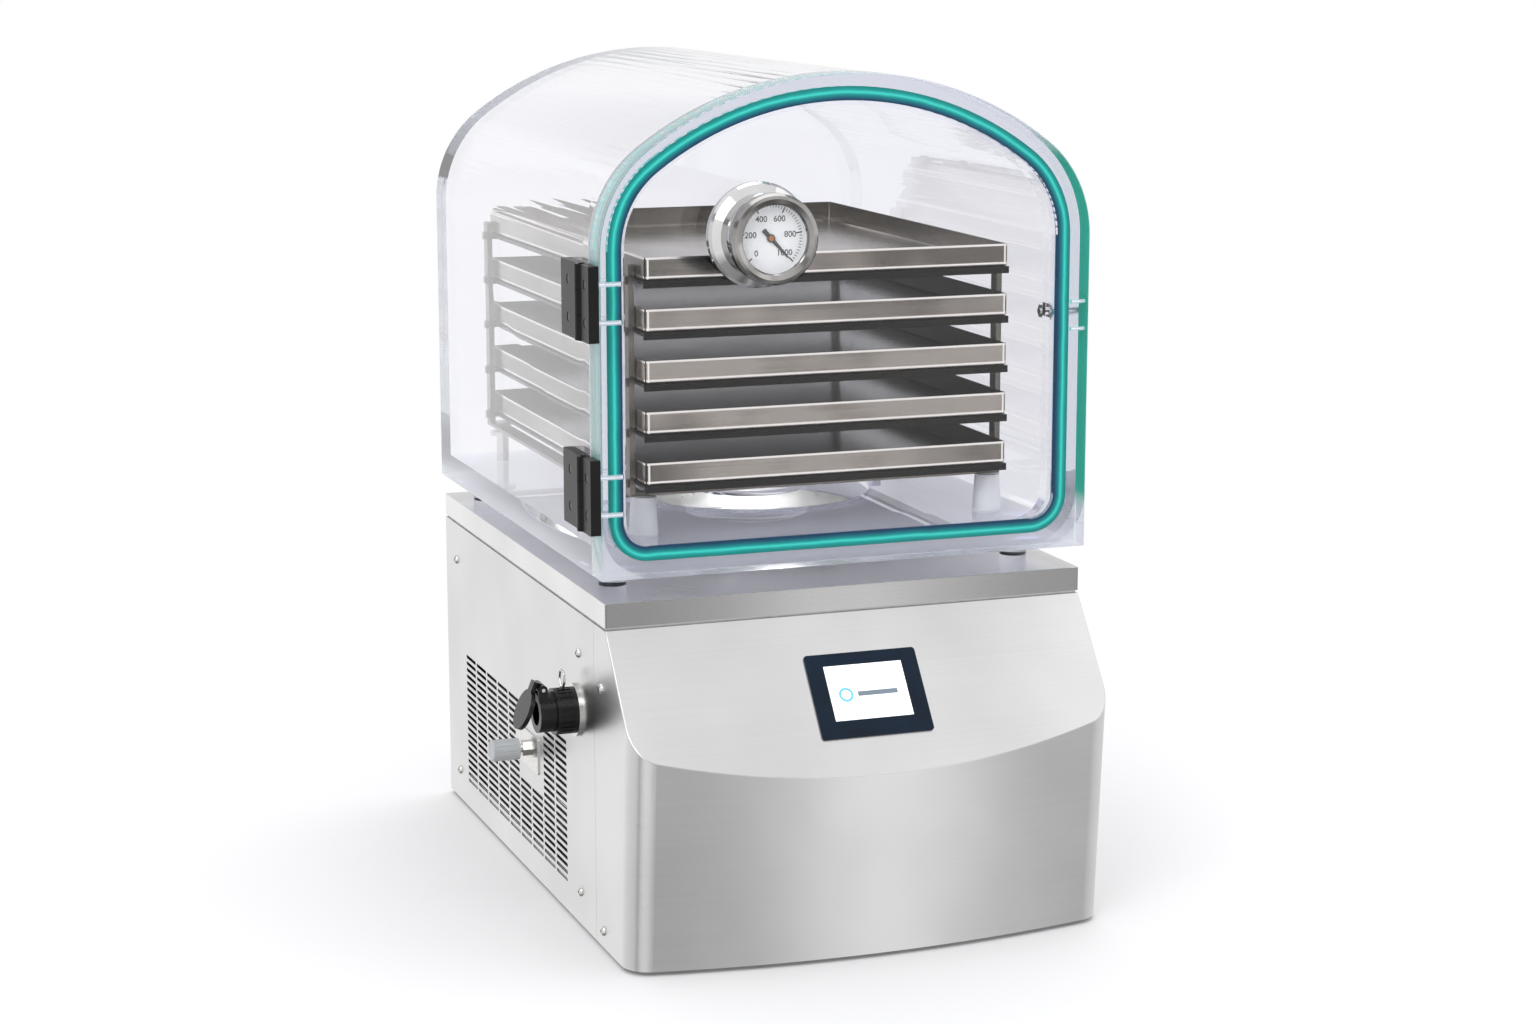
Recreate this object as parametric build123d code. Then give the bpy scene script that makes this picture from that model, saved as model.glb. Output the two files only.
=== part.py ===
from build123d import *
import math
import os

# Bench-top tray freeze dryer: a clear drying chamber with a hinged door stands on a
# stainless cabinet that holds the ice condenser and its refrigeration.
# Millimetres. X runs to the right, Y to the back, Z up. Sizes are given from the point on
# the table under the middle of the lid; the finished parts are then moved so that the
# origin is on the table under the middle of the outer box.

# ---- cabinet ---------------------------------------------------------------
CABINET_W = 440.0      # width of the cabinet and its lid
LID_D = 540.0          # depth of the lid, front to back
LID_TOP = 310.0        # height of the lid's top face
LID_EDGE = 21.0        # height of the lid's folded edge
LID_PLATE = 3.0        # thickness of the lid's plate
ORIGIN_X = -23.0       # the parts' origin, from the point under the lid's middle
ORIGIN_Y = -45.0
LID_GAP = 2.5          # shadow gap between the lid's edge and the panels
SHEET = 1.5            # thickness of the stainless sheet
SKIRT_Z = 4.0          # height of the panels' lower edge above the table
PAN_Z = 6.0            # underside of the base pan
PAN_T = 2.0            # thickness of the base pan
FIT = 0.3              # clearance between parts that slip past each other

# front cover: an inclined panel that cuts a bowed apron
COVER_RETURN = 33.5    # depth of the cover's sides behind the lid's front edge
PANEL_LEAN = 37.9      # angle of the inclined panel from the vertical
BOW_REACH = 94.0       # how far the apron stands out before the lid, at the crease
BOW_SAG = 24.0         # how much less it stands out at its corners
BOW_TAPER = 0.075      # how far the apron falls back for each millimetre down
CORNER_R = 25.0        # radius of the apron's upright corners
CREASE_R = 1.2         # radius along the crease

# touch screen
SCREEN_W = 102.4
SCREEN_H = 78.5
SCREEN_DROP = 78.0     # distance down the slope from the panel's top to its middle
SCREEN_R = 3.0
SCREEN_PROUD = 2.2
SCREEN_DEEP = 30.0
WINDOW_W = 72.0
WINDOW_H = 51.5
WINDOW_UP = 2.0
BEZEL_LAND = 5.0       # how far the bezel laps over the panel's cut-out

# slotted left side
SLOT_L = 35.0
SLOT_H = 3.5
SLOT_PITCH_Y = 39.0
SLOT_PITCH_Z = 6.65
SLOT_COLUMNS = 9
SLOT_ROWS = 20
SLOT_IN = 104.5        # from the seam to the middle of the front column
SLOT_Z = 158.7         # middle of the top row
BLANK_COLUMNS = (2, 3)
BLANK_ROWS = 11        # rows left out there, for the drain plate

# side screws
SCREW_R = 2.5
SCREW_HEAD_R = 4.5
SCREW_HEAD_T = 2.4
PANEL_SCREW_IN = (46.5, 40.0)   # from the seam and from the rear edge
PANEL_SCREW_Z = (34.0, 250.0)
COVER_SCREW_IN = 20.5  # from the seam, forward
COVER_SCREW_Z = (19.0, 234.0)
STRIP_W = 20.0         # width of the inner frame's strips
STRIP_T = 2.0
RAIL_H = 30.0

# ---- drying chamber --------------------------------------------------------
CHAMBER_OVER = 3.0     # how far the chamber's sides stand outside the cabinet's
CHAMBER_LIFT = 20.0    # gap between the lid and the chamber, bridged by the collar
SPRING_UP = 275.0      # height of the straight sides above the chamber's underside
ARCH_SIDE_R = 105.0
ARCH_CROWN_R = 302.0
WALL = 20.0
FLOOR_T = 22.0
BACK_T = 20.0
FRAME_T = 14.7
FRAME_LAND = 28.0      # width of the front frame's sealing land
OPENING_R = 25.0       # radius of the opening's lower corners
DOOR_T = 30.0
DOOR_PROUD = 4.0       # how far the door stands before the lid's front edge
DOOR_GAP = 1.3         # gap between door and frame, filled by the gasket
GASKET_W = 12.0
GASKET_INSET = 12.0    # from the outline to the gasket's outer edge
GASKET_DEEP = 6.0
GASKET_R = 34.0        # radius of its lower corners
SEAL_GAP = 0.3
MOUTH_STEP = 3.0       # how much wider the chamber's mouth is than the vessel

# hinges and catch
HINGE_H = 64.0
HINGE_Z = (401.0, 563.0)
DOOR_LEAF_W = 29.0
FRAME_LEAF_W = 50.0
LEAF_T = 9.0
KNUCKLE_R = 6.0
HINGE_PIN_R = 2.5
HINGE_SCREW_R = 2.1
HINGE_SCREW_L = 22.0
HINGE_SCREW_UP = 16.0
RUN = 0.05             # radial running clearance
CATCH_Z = 535.0

# vacuum gauge
GAUGE_X = -86.0
GAUGE_Z = 617.0
GAUGE_RING_R = 44.5
GAUGE_BEZEL_R = 38.0
GAUGE_FRONT = 50.0     # height of the bezel before the door
DIAL_R = 28.5
STEM_R = 7.0

# ---- rack ------------------------------------------------------------------
TRAY_W = 336.0
TRAY_D = 430.0
TRAY_H = 20.0
TRAY_T = 1.2
TRAY_R = 3.0           # outside radius of the trays' folds
TRAY_IN = 15.0         # from the front frame to the trays
TRAY_COUNT = 5
TRAY_PITCH = 44.0
TRAY_UP = 13.0         # from the rack's underside to the lowest tray
SHELF_T = 1.5
HEATER_T = 3.0
POST_W = 5.0
POST_D = 12.0
POST_IN = 26.0         # from the trays' front to the front posts
POST_UP = 11.0         # how far the posts rise past the top tray's underside
RACK_FOOT = 34.0       # height of the rack's feet
BAFFLE_R = 58.0

# ---- ice condenser and refrigeration ---------------------------------------
VESSEL_R = 112.0
VESSEL_DEPTH = 180.0
VESSEL_T = 1.5
FLANGE_LAND = 15.0     # width of the vessel's flange outside the mouth
FLANGE_T = 2.5
COLLAR_T = 12.0        # thickness of the collar above the flange
SEAL_T = 1.0
JACKET_T = 6.0
FOAM_T = 26.5          # foam and jacket round the vessel
FOAM_BASE = 26.0
COIL_IN = 20.0         # from the cabinet's side to the finned coil
COIL_T = 28.0
COIL_L = 350.0
COIL_Y0 = -155.0
COIL_Z = (20.0, 165.0)
FIN_COUNT = 22
FAN_SIZE = 120.0
FAN_T = 24.0
FAN_IN = 87.0          # from each end of the coil to its fan's axis
FAN_HUB_R = 20.0
FAN_BLADES = 5
PIPE_R = 12.5
PORT_IN = 56.5         # from the seam to the port's axis
PORT_Z = 197.0
PORT_R = 20.5
PORT_BORE_R = 11.0
CAP_TILT = 22.0        # how far the port's cap hangs open at rest
DRAIN_IN = 213.5       # from the seam to the drain's axis
DRAIN_Z = 122.0
DRAIN_R = 4.0
KNOB_R = 10.0
KNOB_L = 26.0

# ---- sizes that follow -----------------------------------------------------
HALF_W = CABINET_W / 2
FRONT_Y = -LID_D / 2
REAR_Y = LID_D / 2
PANEL_TOP = LID_TOP - LID_EDGE - LID_GAP
SEAM_Y = FRONT_Y + COVER_RETURN
PANEL_SCREW_Y = (SEAM_Y + PANEL_SCREW_IN[0], REAR_Y - PANEL_SCREW_IN[1])
COVER_SCREW_Y = SEAM_Y - COVER_SCREW_IN
FRAME_Y = COVER_SCREW_Y - STRIP_W / 2
CREASE_Z = PANEL_TOP - BOW_REACH / math.tan(math.radians(PANEL_LEAN))
PAN_TOP = PAN_Z + PAN_T
INNER_X = HALF_W - SHEET

MOUTH_R = VESSEL_R + MOUTH_STEP
FLANGE_R = MOUTH_R + FLANGE_LAND
COLLAR_R = MOUTH_R + COLLAR_T
FOAM_R = VESSEL_R + VESSEL_T + FOAM_T

COIL_X = -HALF_W + COIL_IN
COIL_Y = (COIL_Y0, COIL_Y0 + COIL_L)
FAN_Y = (COIL_Y[0] + FAN_IN, COIL_Y[1] - FAN_IN)
PORT_Y = SEAM_Y + PORT_IN
DRAIN_Y = SEAM_Y + DRAIN_IN

CHAMBER_Z = LID_TOP + CHAMBER_LIFT
CHAMBER_HALF = HALF_W + CHAMBER_OVER
FLOOR_TOP = CHAMBER_Z + FLOOR_T
SPRING_Z = CHAMBER_Z + SPRING_UP
SIDE_C = CHAMBER_HALF - ARCH_SIDE_R
CROWN_DROP = math.sqrt((ARCH_CROWN_R - ARCH_SIDE_R) ** 2 - SIDE_C ** 2)
DOOR_FRONT = FRONT_Y - DOOR_PROUD
DOOR_BACK = DOOR_FRONT + DOOR_T
FRAME_FRONT = DOOR_BACK + DOOR_GAP
FRAME_BACK = FRAME_FRONT + FRAME_T
HINGE_X = -CHAMBER_HALF - KNUCKLE_R - FIT
HINGE_Y = DOOR_BACK + DOOR_GAP / 2
SHELF_HALF = TRAY_W / 2 + 1
RACK_Z = FLOOR_TOP + RACK_FOOT
TRAY_FRONT = FRAME_BACK + TRAY_IN
TRAY_BACK = TRAY_FRONT + TRAY_D
POST_Y = (TRAY_FRONT + POST_IN, TRAY_BACK - POST_D)

PANEL = Plane(
    origin=(0, FRONT_Y, PANEL_TOP),
    x_dir=(1, 0, 0),
    z_dir=(0, -math.cos(math.radians(PANEL_LEAN)), math.sin(math.radians(PANEL_LEAN))),
)
SCREEN = PANEL * Pos(0, -SCREEN_DROP, 0)
LOW = (Align.CENTER, Align.CENTER, Align.MIN)


# ---- helpers ---------------------------------------------------------------
def block(x0, x1, y0, y1, z0, z1):
    """A box between two corners."""
    size = Box(x1 - x0, y1 - y0, z1 - z0)
    return Pos((x0 + x1) / 2, (y0 + y1) / 2, (z0 + z1) / 2) * size


def rod_x(x0, x1, y, z, radius):
    """A round bar along X."""
    bar = Cylinder(radius, x1 - x0)
    return Pos((x0 + x1) / 2, y, z) * Rot(0, 90, 0) * bar


def rod_y(x, y0, y1, z, radius):
    """A round bar along Y."""
    bar = Cylinder(radius, y1 - y0)
    return Pos(x, (y0 + y1) / 2, z) * Rot(90, 0, 0) * bar


def rod_z(x, y, z0, z1, radius):
    """A round bar along Z."""
    return Pos(x, y, (z0 + z1) / 2) * Cylinder(radius, z1 - z0)


def turned(points):
    """A body turned about Z from a half section of (radius, height) points."""
    section = make_face(Polyline(*points, close=True))
    return revolve(Plane.XZ * section, Axis.Z, 360)


def mirrored(shape):
    """A shape and its mirror image across the middle."""
    return [shape, mirror(shape, Plane.YZ)]


def fused(shapes):
    """One solid from shapes that overlap or share faces."""
    return shapes[0].fuse(*shapes[1:]).clean()


def group(shapes):
    """Several separate solids as one node."""
    return Compound(children=[s for shape in shapes for s in shape.solids()])


# ---- cabinet ---------------------------------------------------------------
def cover_plan(z, inset, back):
    """Plan of the cabinet's bowed front at one height, drawn in by `inset`."""
    half = HALF_W - inset
    nose = FRONT_Y - BOW_REACH + BOW_TAPER * (CREASE_Z - z) + inset
    side = nose + BOW_SAG
    face = make_face([
        Line((-half, back), (-half, side)),
        ThreePointArc((-half, side), (0, nose), (half, side)),
        Line((half, side), (half, back)),
        Line((half, back), (-half, back)),
    ])
    corners = face.vertices().sort_by(Axis.Y)[:2]
    return Pos(0, 0, z) * fillet(corners, CORNER_R - inset)


def cover_block(inset, bottom, back):
    """Solid block under the inclined panel and behind the apron."""
    top = PANEL_TOP - inset
    body = loft([cover_plan(bottom, inset, back), cover_plan(top, inset, back)], ruled=True)
    cutter = PANEL.offset(-inset) * Box(2 * CABINET_W, 3 * LID_TOP, LID_TOP, align=LOW)
    return body - cutter


def front_cover():
    """Folded cover: inclined panel, bowed apron and side returns in one sheet."""
    outer = cover_block(0, SKIRT_Z, SEAM_Y)
    slope = [f for f in outer.faces() if abs(f.normal_at().dot(PANEL.z_dir)) > 0.999][0]
    crease = slope.edges().sort_by(Axis.Z)[:-1]
    outer = fillet(crease, CREASE_R)
    cover = outer - cover_block(SHEET, SKIRT_Z - 1, SEAM_Y + 1)
    cover -= block(-INNER_X, INNER_X, FRAME_Y, SEAM_Y + 1, PANEL_TOP - 5, PANEL_TOP + 1)
    cover -= SCREEN * Box(SCREEN_W - 2 * BEZEL_LAND, SCREEN_H - 2 * BEZEL_LAND, 10)
    for side in (-1, 1):
        for z in COVER_SCREW_Z:
            cover -= rod_x(side * HALF_W - 5, side * HALF_W + 5, COVER_SCREW_Y, z, SCREW_R + FIT)
    return cover


def top_plate():
    """Lid: a plate with a folded edge all round and a round hole for the condenser."""
    lid = block(-HALF_W, HALF_W, FRONT_Y, REAR_Y, LID_TOP - LID_EDGE, LID_TOP)
    lid = fillet(lid.edges().filter_by(Axis.Z), 1.5)
    lid = fillet(lid.edges().group_by(Axis.Z)[-1], 0.8)
    lid -= block(-INNER_X, INNER_X, FRONT_Y + SHEET, REAR_Y - SHEET, 0, LID_TOP - LID_PLATE)
    return lid - rod_z(0, 0, 0, 2 * LID_TOP, VESSEL_R + VESSEL_T + FIT)


def side_panel(side):
    """One flat side of the cabinet, with its screw holes."""
    faces = sorted((side * INNER_X, side * HALF_W))
    panel = block(*faces, SEAM_Y + FIT, REAR_Y, SKIRT_Z, PANEL_TOP)
    for y in PANEL_SCREW_Y:
        for z in PANEL_SCREW_Z:
            panel -= rod_x(faces[0] - 1, faces[1] + 1, y, z, SCREW_R + FIT)
    return panel


def slot_tool():
    """The field of cooling slots, as one cutting tool."""
    outline = Rectangle(SLOT_L, SLOT_H)
    outline = chamfer(outline.vertices(), SLOT_H * 0.3)
    slot = extrude(Plane.YZ.offset(-HALF_W - 1) * outline, SHEET + 2)
    places = [
        Pos(0, SEAM_Y + SLOT_IN + column * SLOT_PITCH_Y, SLOT_Z - row * SLOT_PITCH_Z)
        for column in range(SLOT_COLUMNS)
        for row in range(SLOT_ROWS)
        if column not in BLANK_COLUMNS or row >= BLANK_ROWS
    ]
    return Compound(children=[place * slot for place in places])


def left_side_panel():
    """Slotted side, with holes for the vacuum port and the drain."""
    panel = side_panel(-1) - slot_tool()
    panel -= rod_x(-HALF_W - 1, -INNER_X + 1, PORT_Y, PORT_Z, PIPE_R + FIT)
    return panel - rod_x(-HALF_W - 1, -INNER_X + 1, DRAIN_Y, DRAIN_Z, DRAIN_R + FIT)


COMPRESSOR_X = 70.0
INLET_X = -130.0
INLET_Z = 60.0
INLET_W = 27.0
INLET_H = 20.0
SWITCH_X = -80.0
SWITCH_W = 13.0
SWITCH_H = 19.0
VENT_COUNT = 9
VENT_L = 120.0
VENT_H = 6.0
VENT_Z = 120.0
VENT_PITCH = 14.0


def rear_panel():
    """Back of the cabinet: air outlet slots, mains inlet and switch cut-outs."""
    panel = block(-INNER_X, INNER_X, REAR_Y - SHEET, REAR_Y, SKIRT_Z, PANEL_TOP)
    vent = extrude(Plane.XZ.offset(-REAR_Y - 1) * SlotOverall(VENT_L, VENT_H), SHEET + 2)
    for row in range(VENT_COUNT):
        panel -= Pos(COMPRESSOR_X, 0, VENT_Z + row * VENT_PITCH) * vent
    panel -= Pos(INLET_X, REAR_Y, INLET_Z) * Box(INLET_W, 9, INLET_H)
    return panel - Pos(SWITCH_X, REAR_Y, INLET_Z) * Box(SWITCH_W, 9, SWITCH_H)


def base_pan():
    """Floor of the cabinet, with the bowed front of the cover around it."""
    outline = cover_plan(PAN_TOP, SHEET + FIT, REAR_Y - SHEET - FIT)
    return extrude(outline, -PAN_T)


FOOT_R = 15.0
FOOT_X = 180.0
FOOT_Y = (FRONT_Y - 25.0, REAR_Y - 35.0)


def feet():
    """Four low rubber feet under the base pan."""
    foot = turned([(0, 0), (FOOT_R - 1, 0), (FOOT_R, 1), (FOOT_R - 1, PAN_Z), (0, PAN_Z)])
    return group([Pos(x, y, 0) * foot for x in (-FOOT_X, FOOT_X) for y in FOOT_Y])


def inner_frame():
    """Welded strips inside the panels, which carry the lid."""
    strip_x = INNER_X - STRIP_T
    plate = LID_TOP - LID_PLATE
    back = REAR_Y - SHEET - FIT
    front = FRAME_Y
    top = plate - RAIL_H
    rails = []
    for z in (PAN_TOP, top):
        rails += mirrored(block(strip_x, INNER_X, front, back, z, z + RAIL_H))
        rails.append(block(-strip_x, strip_x, back - STRIP_T, back, z, z + RAIL_H))
    rails.append(block(-strip_x, strip_x, front, front + STRIP_T, top, plate))
    for y in (COVER_SCREW_Y,) + PANEL_SCREW_Y:
        upright = block(strip_x, INNER_X, y - STRIP_W / 2, y + STRIP_W / 2, PAN_TOP, plate)
        rails += mirrored(upright)
    frame = fused(rails)
    for y, heights in [(COVER_SCREW_Y, COVER_SCREW_Z)] + [(y, PANEL_SCREW_Z) for y in PANEL_SCREW_Y]:
        for z in heights:
            frame -= rod_x(-INNER_X - 1, INNER_X + 1, y, z, SCREW_R)
    return frame - rod_x(-INNER_X - 1, -strip_x + 1, PORT_Y, PORT_Z, PIPE_R + FIT)


def panel_screws():
    """Button-head screws that hold the side panels and the front cover."""
    length = SHEET + STRIP_T + 1
    screw = turned([
        (0, -length), (SCREW_R, -length), (SCREW_R, 0), (SCREW_HEAD_R, 0),
        (SCREW_HEAD_R - 0.5, 1.3), (SCREW_HEAD_R - 2, SCREW_HEAD_T), (1.6, SCREW_HEAD_T),
        (1.6, 1), (0, 1),
    ])
    places = [(COVER_SCREW_Y, z) for z in COVER_SCREW_Z]
    places += [(y, z) for y in PANEL_SCREW_Y for z in PANEL_SCREW_Z]
    right = [Pos(HALF_W, y, z) * Rot(0, 90, 0) * screw for y, z in places]
    return group([part for screw_part in right for part in mirrored(screw_part)])


# ---- touch screen ----------------------------------------------------------
def screen_housing():
    """Bezel on the inclined panel, and the box behind it."""
    bezel = extrude(RectangleRounded(SCREEN_W, SCREEN_H, SCREEN_R), SCREEN_PROUD)
    bezel = chamfer(bezel.edges().group_by(Axis.Z)[-1], 0.6)
    land = 2 * (BEZEL_LAND + FIT)
    box = Pos(0, 0, -SCREEN_DEEP) * Box(
        SCREEN_W - land, SCREEN_H - land, SCREEN_DEEP, align=LOW)
    pocket = Pos(0, WINDOW_UP, SCREEN_PROUD - 1.2) * Box(WINDOW_W, WINDOW_H, 5, align=LOW)
    return SCREEN * (bezel + box - pocket)


def screen_display():
    """The glass of the display, set in the bezel's pocket."""
    glass = Box(WINDOW_W - 2 * FIT, WINDOW_H - 2 * FIT, 1.0, align=LOW)
    return SCREEN * Pos(0, WINDOW_UP, SCREEN_PROUD - 1.2) * glass


# ---- left side fittings ----------------------------------------------------
FLANGE_OUT = 3.0       # thickness of the port's steel flange
COLLAR_L = 18.0
BODY_L = 15.0
CAP_T = 4.0
CAP_R = 18.0
CAP_HINGE_UP = 22.5
RIB_COUNT = 24
LOOP_R = 7.5           # half the width of the wire clip's loop
WIRE_R = 1.1


def port_face(distance):
    """X of a plane that lies outside the left panel by `distance`."""
    return -HALF_W - distance


def vacuum_port_flange():
    """Steel flange on the panel, turned in one piece with the pipe stub."""
    outer = rod_x(port_face(FLANGE_OUT), port_face(0), PORT_Y, PORT_Z, PORT_R + 3)
    tube = rod_x(port_face(FLANGE_OUT), -HALF_W + 12, PORT_Y, PORT_Z, PIPE_R)
    bore = rod_x(port_face(FLANGE_OUT) - 1, -HALF_W + 13, PORT_Y, PORT_Z, PORT_BORE_R)
    return outer + tube - bore


def vacuum_port_collar():
    """Ribbed black union nut."""
    start = port_face(FLANGE_OUT + COLLAR_L)
    ring = rod_x(start, port_face(FLANGE_OUT), PORT_Y, PORT_Z, PORT_R)
    for index in range(RIB_COUNT):
        angle = 2 * math.pi * index / RIB_COUNT
        y = PORT_Y + (PORT_R + 0.6) * math.cos(angle)
        z = PORT_Z + (PORT_R + 0.6) * math.sin(angle)
        groove = Rot(math.degrees(angle), 0, 0) * Box(COLLAR_L - 6, 2.4, 2.4)
        ring -= Pos(start + COLLAR_L / 2, y, z) * groove
    return ring - rod_x(start - 1, 0, PORT_Y, PORT_Z, PORT_BORE_R + FIT)


def vacuum_port_body():
    """Black body of the port, with the ears of the cap's hinge."""
    start = port_face(FLANGE_OUT + COLLAR_L + BODY_L)
    body = rod_x(start, port_face(FLANGE_OUT + COLLAR_L), PORT_Y, PORT_Z, PORT_R - 3)
    hinge_z = PORT_Z + CAP_HINGE_UP
    for side in (-1, 1):
        y = PORT_Y + side * 9
        ear = block(start, start + 8, y - 2, y + 2, PORT_Z + 12, hinge_z)
        ear += rod_y(start + 4, y - 2, y + 2, hinge_z, 4)
        body += ear
    body -= rod_y(start + 4, PORT_Y - 20, PORT_Y + 20, hinge_z, 1.6)
    return body - rod_x(start - 1, 0, PORT_Y, PORT_Z, PORT_BORE_R)


def vacuum_port_pin():
    """Pin of the cap's hinge, tight in the ears."""
    x = port_face(FLANGE_OUT + COLLAR_L + BODY_L) + 4
    return rod_y(x, PORT_Y - 12, PORT_Y + 12, PORT_Z + CAP_HINGE_UP, 1.6)


def vacuum_port_cap():
    """Round cap on an arm, hanging open from its hinge."""
    x = port_face(FLANGE_OUT + COLLAR_L + BODY_L) + 4
    hinge_z = PORT_Z + CAP_HINGE_UP
    face = port_face(FLANGE_OUT + COLLAR_L + BODY_L) - FIT
    disc = rod_x(face - CAP_T, face, PORT_Y, PORT_Z, CAP_R)
    disc -= rod_x(face - CAP_T + 1.5, face + 1, PORT_Y, PORT_Z, CAP_R - 4)
    disc += rod_x(face - CAP_T, face, PORT_Y, PORT_Z, PORT_BORE_R - 2)
    arm = block(face - CAP_T, face, PORT_Y - 5, PORT_Y + 5, PORT_Z + CAP_R - 2, hinge_z + 4)
    arm += block(face - CAP_T, x, PORT_Y - 5, PORT_Y + 5, hinge_z, hinge_z + 4)
    arm += rod_y(x, PORT_Y - 5, PORT_Y + 5, hinge_z, 4)
    cap = disc + arm - rod_y(x, PORT_Y - 9, PORT_Y + 9, hinge_z, 1.6 + RUN)
    axis = Axis((x, PORT_Y, hinge_z), (0, 1, 0))
    return cap.rotate(axis, CAP_TILT)


def vacuum_port_clip():
    """Bent wire loop that stands on the collar, narrower at its foot."""
    x = port_face(FLANGE_OUT + COLLAR_L / 2)
    base = PORT_Z + PORT_R + FIT
    corners = [(-3, 0), (-LOOP_R, 7), (-5, 15), (5, 15), (LOOP_R, 7), (3, 0)]
    path = FilletPolyline(*[(x, PORT_Y + y, base + z) for y, z in corners], radius=3.5)
    return sweep(Plane(path @ 0, z_dir=path % 0) * Circle(WIRE_R), path)


PLATE_W = 74.0
PLATE_H = 34.0


def drain_plate():
    """Small plate around the drain, held by its screws."""
    plate = Plane.YZ.offset(-HALF_W) * RectangleRounded(PLATE_W, PLATE_H, 2)
    plate = Pos(0, DRAIN_Y, DRAIN_Z) * extrude(plate, -1.2)
    plate -= rod_x(-HALF_W - 3, -HALF_W + 1, DRAIN_Y, DRAIN_Z, DRAIN_R + FIT)
    return plate


def drain_valve():
    """Valve body: stub through the panel, nut outside and elbow inside."""
    stub = rod_x(port_face(9), -HALF_W + 14, DRAIN_Y, DRAIN_Z, DRAIN_R)
    nut = Plane.YZ.offset(-HALF_W - 1.2) * Pos(DRAIN_Y, DRAIN_Z) * RegularPolygon(7.5, 6)
    nut = extrude(nut, -5)
    stem = rod_x(port_face(16), port_face(9), DRAIN_Y, DRAIN_Z, 2.5)
    elbow = block(-INNER_X + 0.5, -HALF_W + 14, DRAIN_Y - 6, DRAIN_Y + 6, DRAIN_Z - 6, DRAIN_Z + 6)
    return fused([stub, nut, stem, elbow])


def drain_knob():
    """Grooved grey knob on the valve's stem."""
    knob = Cylinder(KNOB_R, KNOB_L, align=LOW)
    knob = fillet(knob.edges().group_by(Axis.Z)[-1], 1.5)
    for index in range(12):
        angle = math.radians(30 * index)
        flute = Pos(KNOB_R * 1.08 * math.cos(angle), KNOB_R * 1.08 * math.sin(angle), KNOB_L / 2)
        knob -= flute * Cylinder(1.3, KNOB_L - 8)
    knob -= Cylinder(2.5 + RUN, 9, align=LOW)
    return Pos(port_face(9 + FIT), DRAIN_Y, DRAIN_Z) * Rot(0, -90, 0) * knob


# ---- rear fittings ---------------------------------------------------------
def mains_inlet():
    """Recessed three-pin mains inlet."""
    body = Box(INLET_W - 2 * FIT, 26, INLET_H - 2 * FIT)
    shape = Pos(0, -13 + 2, 0) * body
    shape += Pos(0, 1, 0) * Box(INLET_W + 6, 2, INLET_H + 4)
    shape -= Pos(0, -7, 0) * Box(INLET_W - 5, 20, INLET_H - 5)
    for x, z in ((-7, -2), (0, 3), (7, -2)):
        shape += Pos(x, -10, z) * Box(2, 14, 4)
    return Pos(INLET_X, REAR_Y, INLET_Z) * shape


ROCKER_W = 9.0
ROCKER_H = 15.0
ROCKER_TILT = 9.0


def switch_body():
    """Frame and body of the mains switch."""
    shape = Pos(0, -8, 0) * Box(SWITCH_W - 2 * FIT, 20, SWITCH_H - 2 * FIT)
    shape += Pos(0, 1, 0) * Box(SWITCH_W + 4, 2, SWITCH_H + 4)
    shape -= Pos(0, 0, 0) * Box(ROCKER_W + 0.8, 14, ROCKER_H + 1.6)
    shape -= Pos(0, 0, 0) * Rot(0, 90, 0) * Cylinder(1.0, SWITCH_W - 2)
    return Pos(SWITCH_X, REAR_Y, INLET_Z) * shape


def switch_rocker():
    """Rocker on its two trunnions, tipped to off."""
    side = make_face(Polyline(
        (-ROCKER_H / 2, 3), (0, 1.6), (ROCKER_H / 2, 3), (ROCKER_H / 2 - 2.5, -2.5),
        (-ROCKER_H / 2 + 2.5, -2.5), close=True))
    rocker = extrude(Plane.YZ * Rot(0, 0, 90) * side, ROCKER_W / 2, both=True)
    rocker += Rot(0, 90, 0) * Cylinder(1.0 - RUN, SWITCH_W - 2 - 2 * FIT)
    return Pos(SWITCH_X, REAR_Y, INLET_Z) * Rot(-ROCKER_TILT, 0, 0) * rocker


# ---- ice condenser and refrigeration ---------------------------------------
VESSEL_BASE = LID_TOP - VESSEL_DEPTH
ENTRY_X = VESSEL_R * 0.53   # where the vacuum pipe enters the vessel, left of its middle


def condenser_vessel():
    """Stainless pot that hangs from its flange in the lid, with the collar that carries the
    chamber."""
    wall = VESSEL_R + VESSEL_T
    pot = turned([
        (0, VESSEL_BASE), (wall, VESSEL_BASE), (wall, LID_TOP), (FLANGE_R, LID_TOP),
        (FLANGE_R, LID_TOP + FLANGE_T), (COLLAR_R, LID_TOP + FLANGE_T),
        (COLLAR_R, CHAMBER_Z - SEAL_T), (MOUTH_R, CHAMBER_Z - SEAL_T), (MOUTH_R, LID_TOP),
        (VESSEL_R, LID_TOP - 4), (VESSEL_R, VESSEL_BASE + VESSEL_T), (0, VESSEL_BASE + VESSEL_T),
    ])
    pot -= rod_z(0, 0, VESSEL_BASE - 1, VESSEL_BASE + 5, DRAIN_R)
    return pot - rod_y(-ENTRY_X, -VESSEL_R - 10, -60, PORT_Z, PIPE_R - 1.5)


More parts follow.
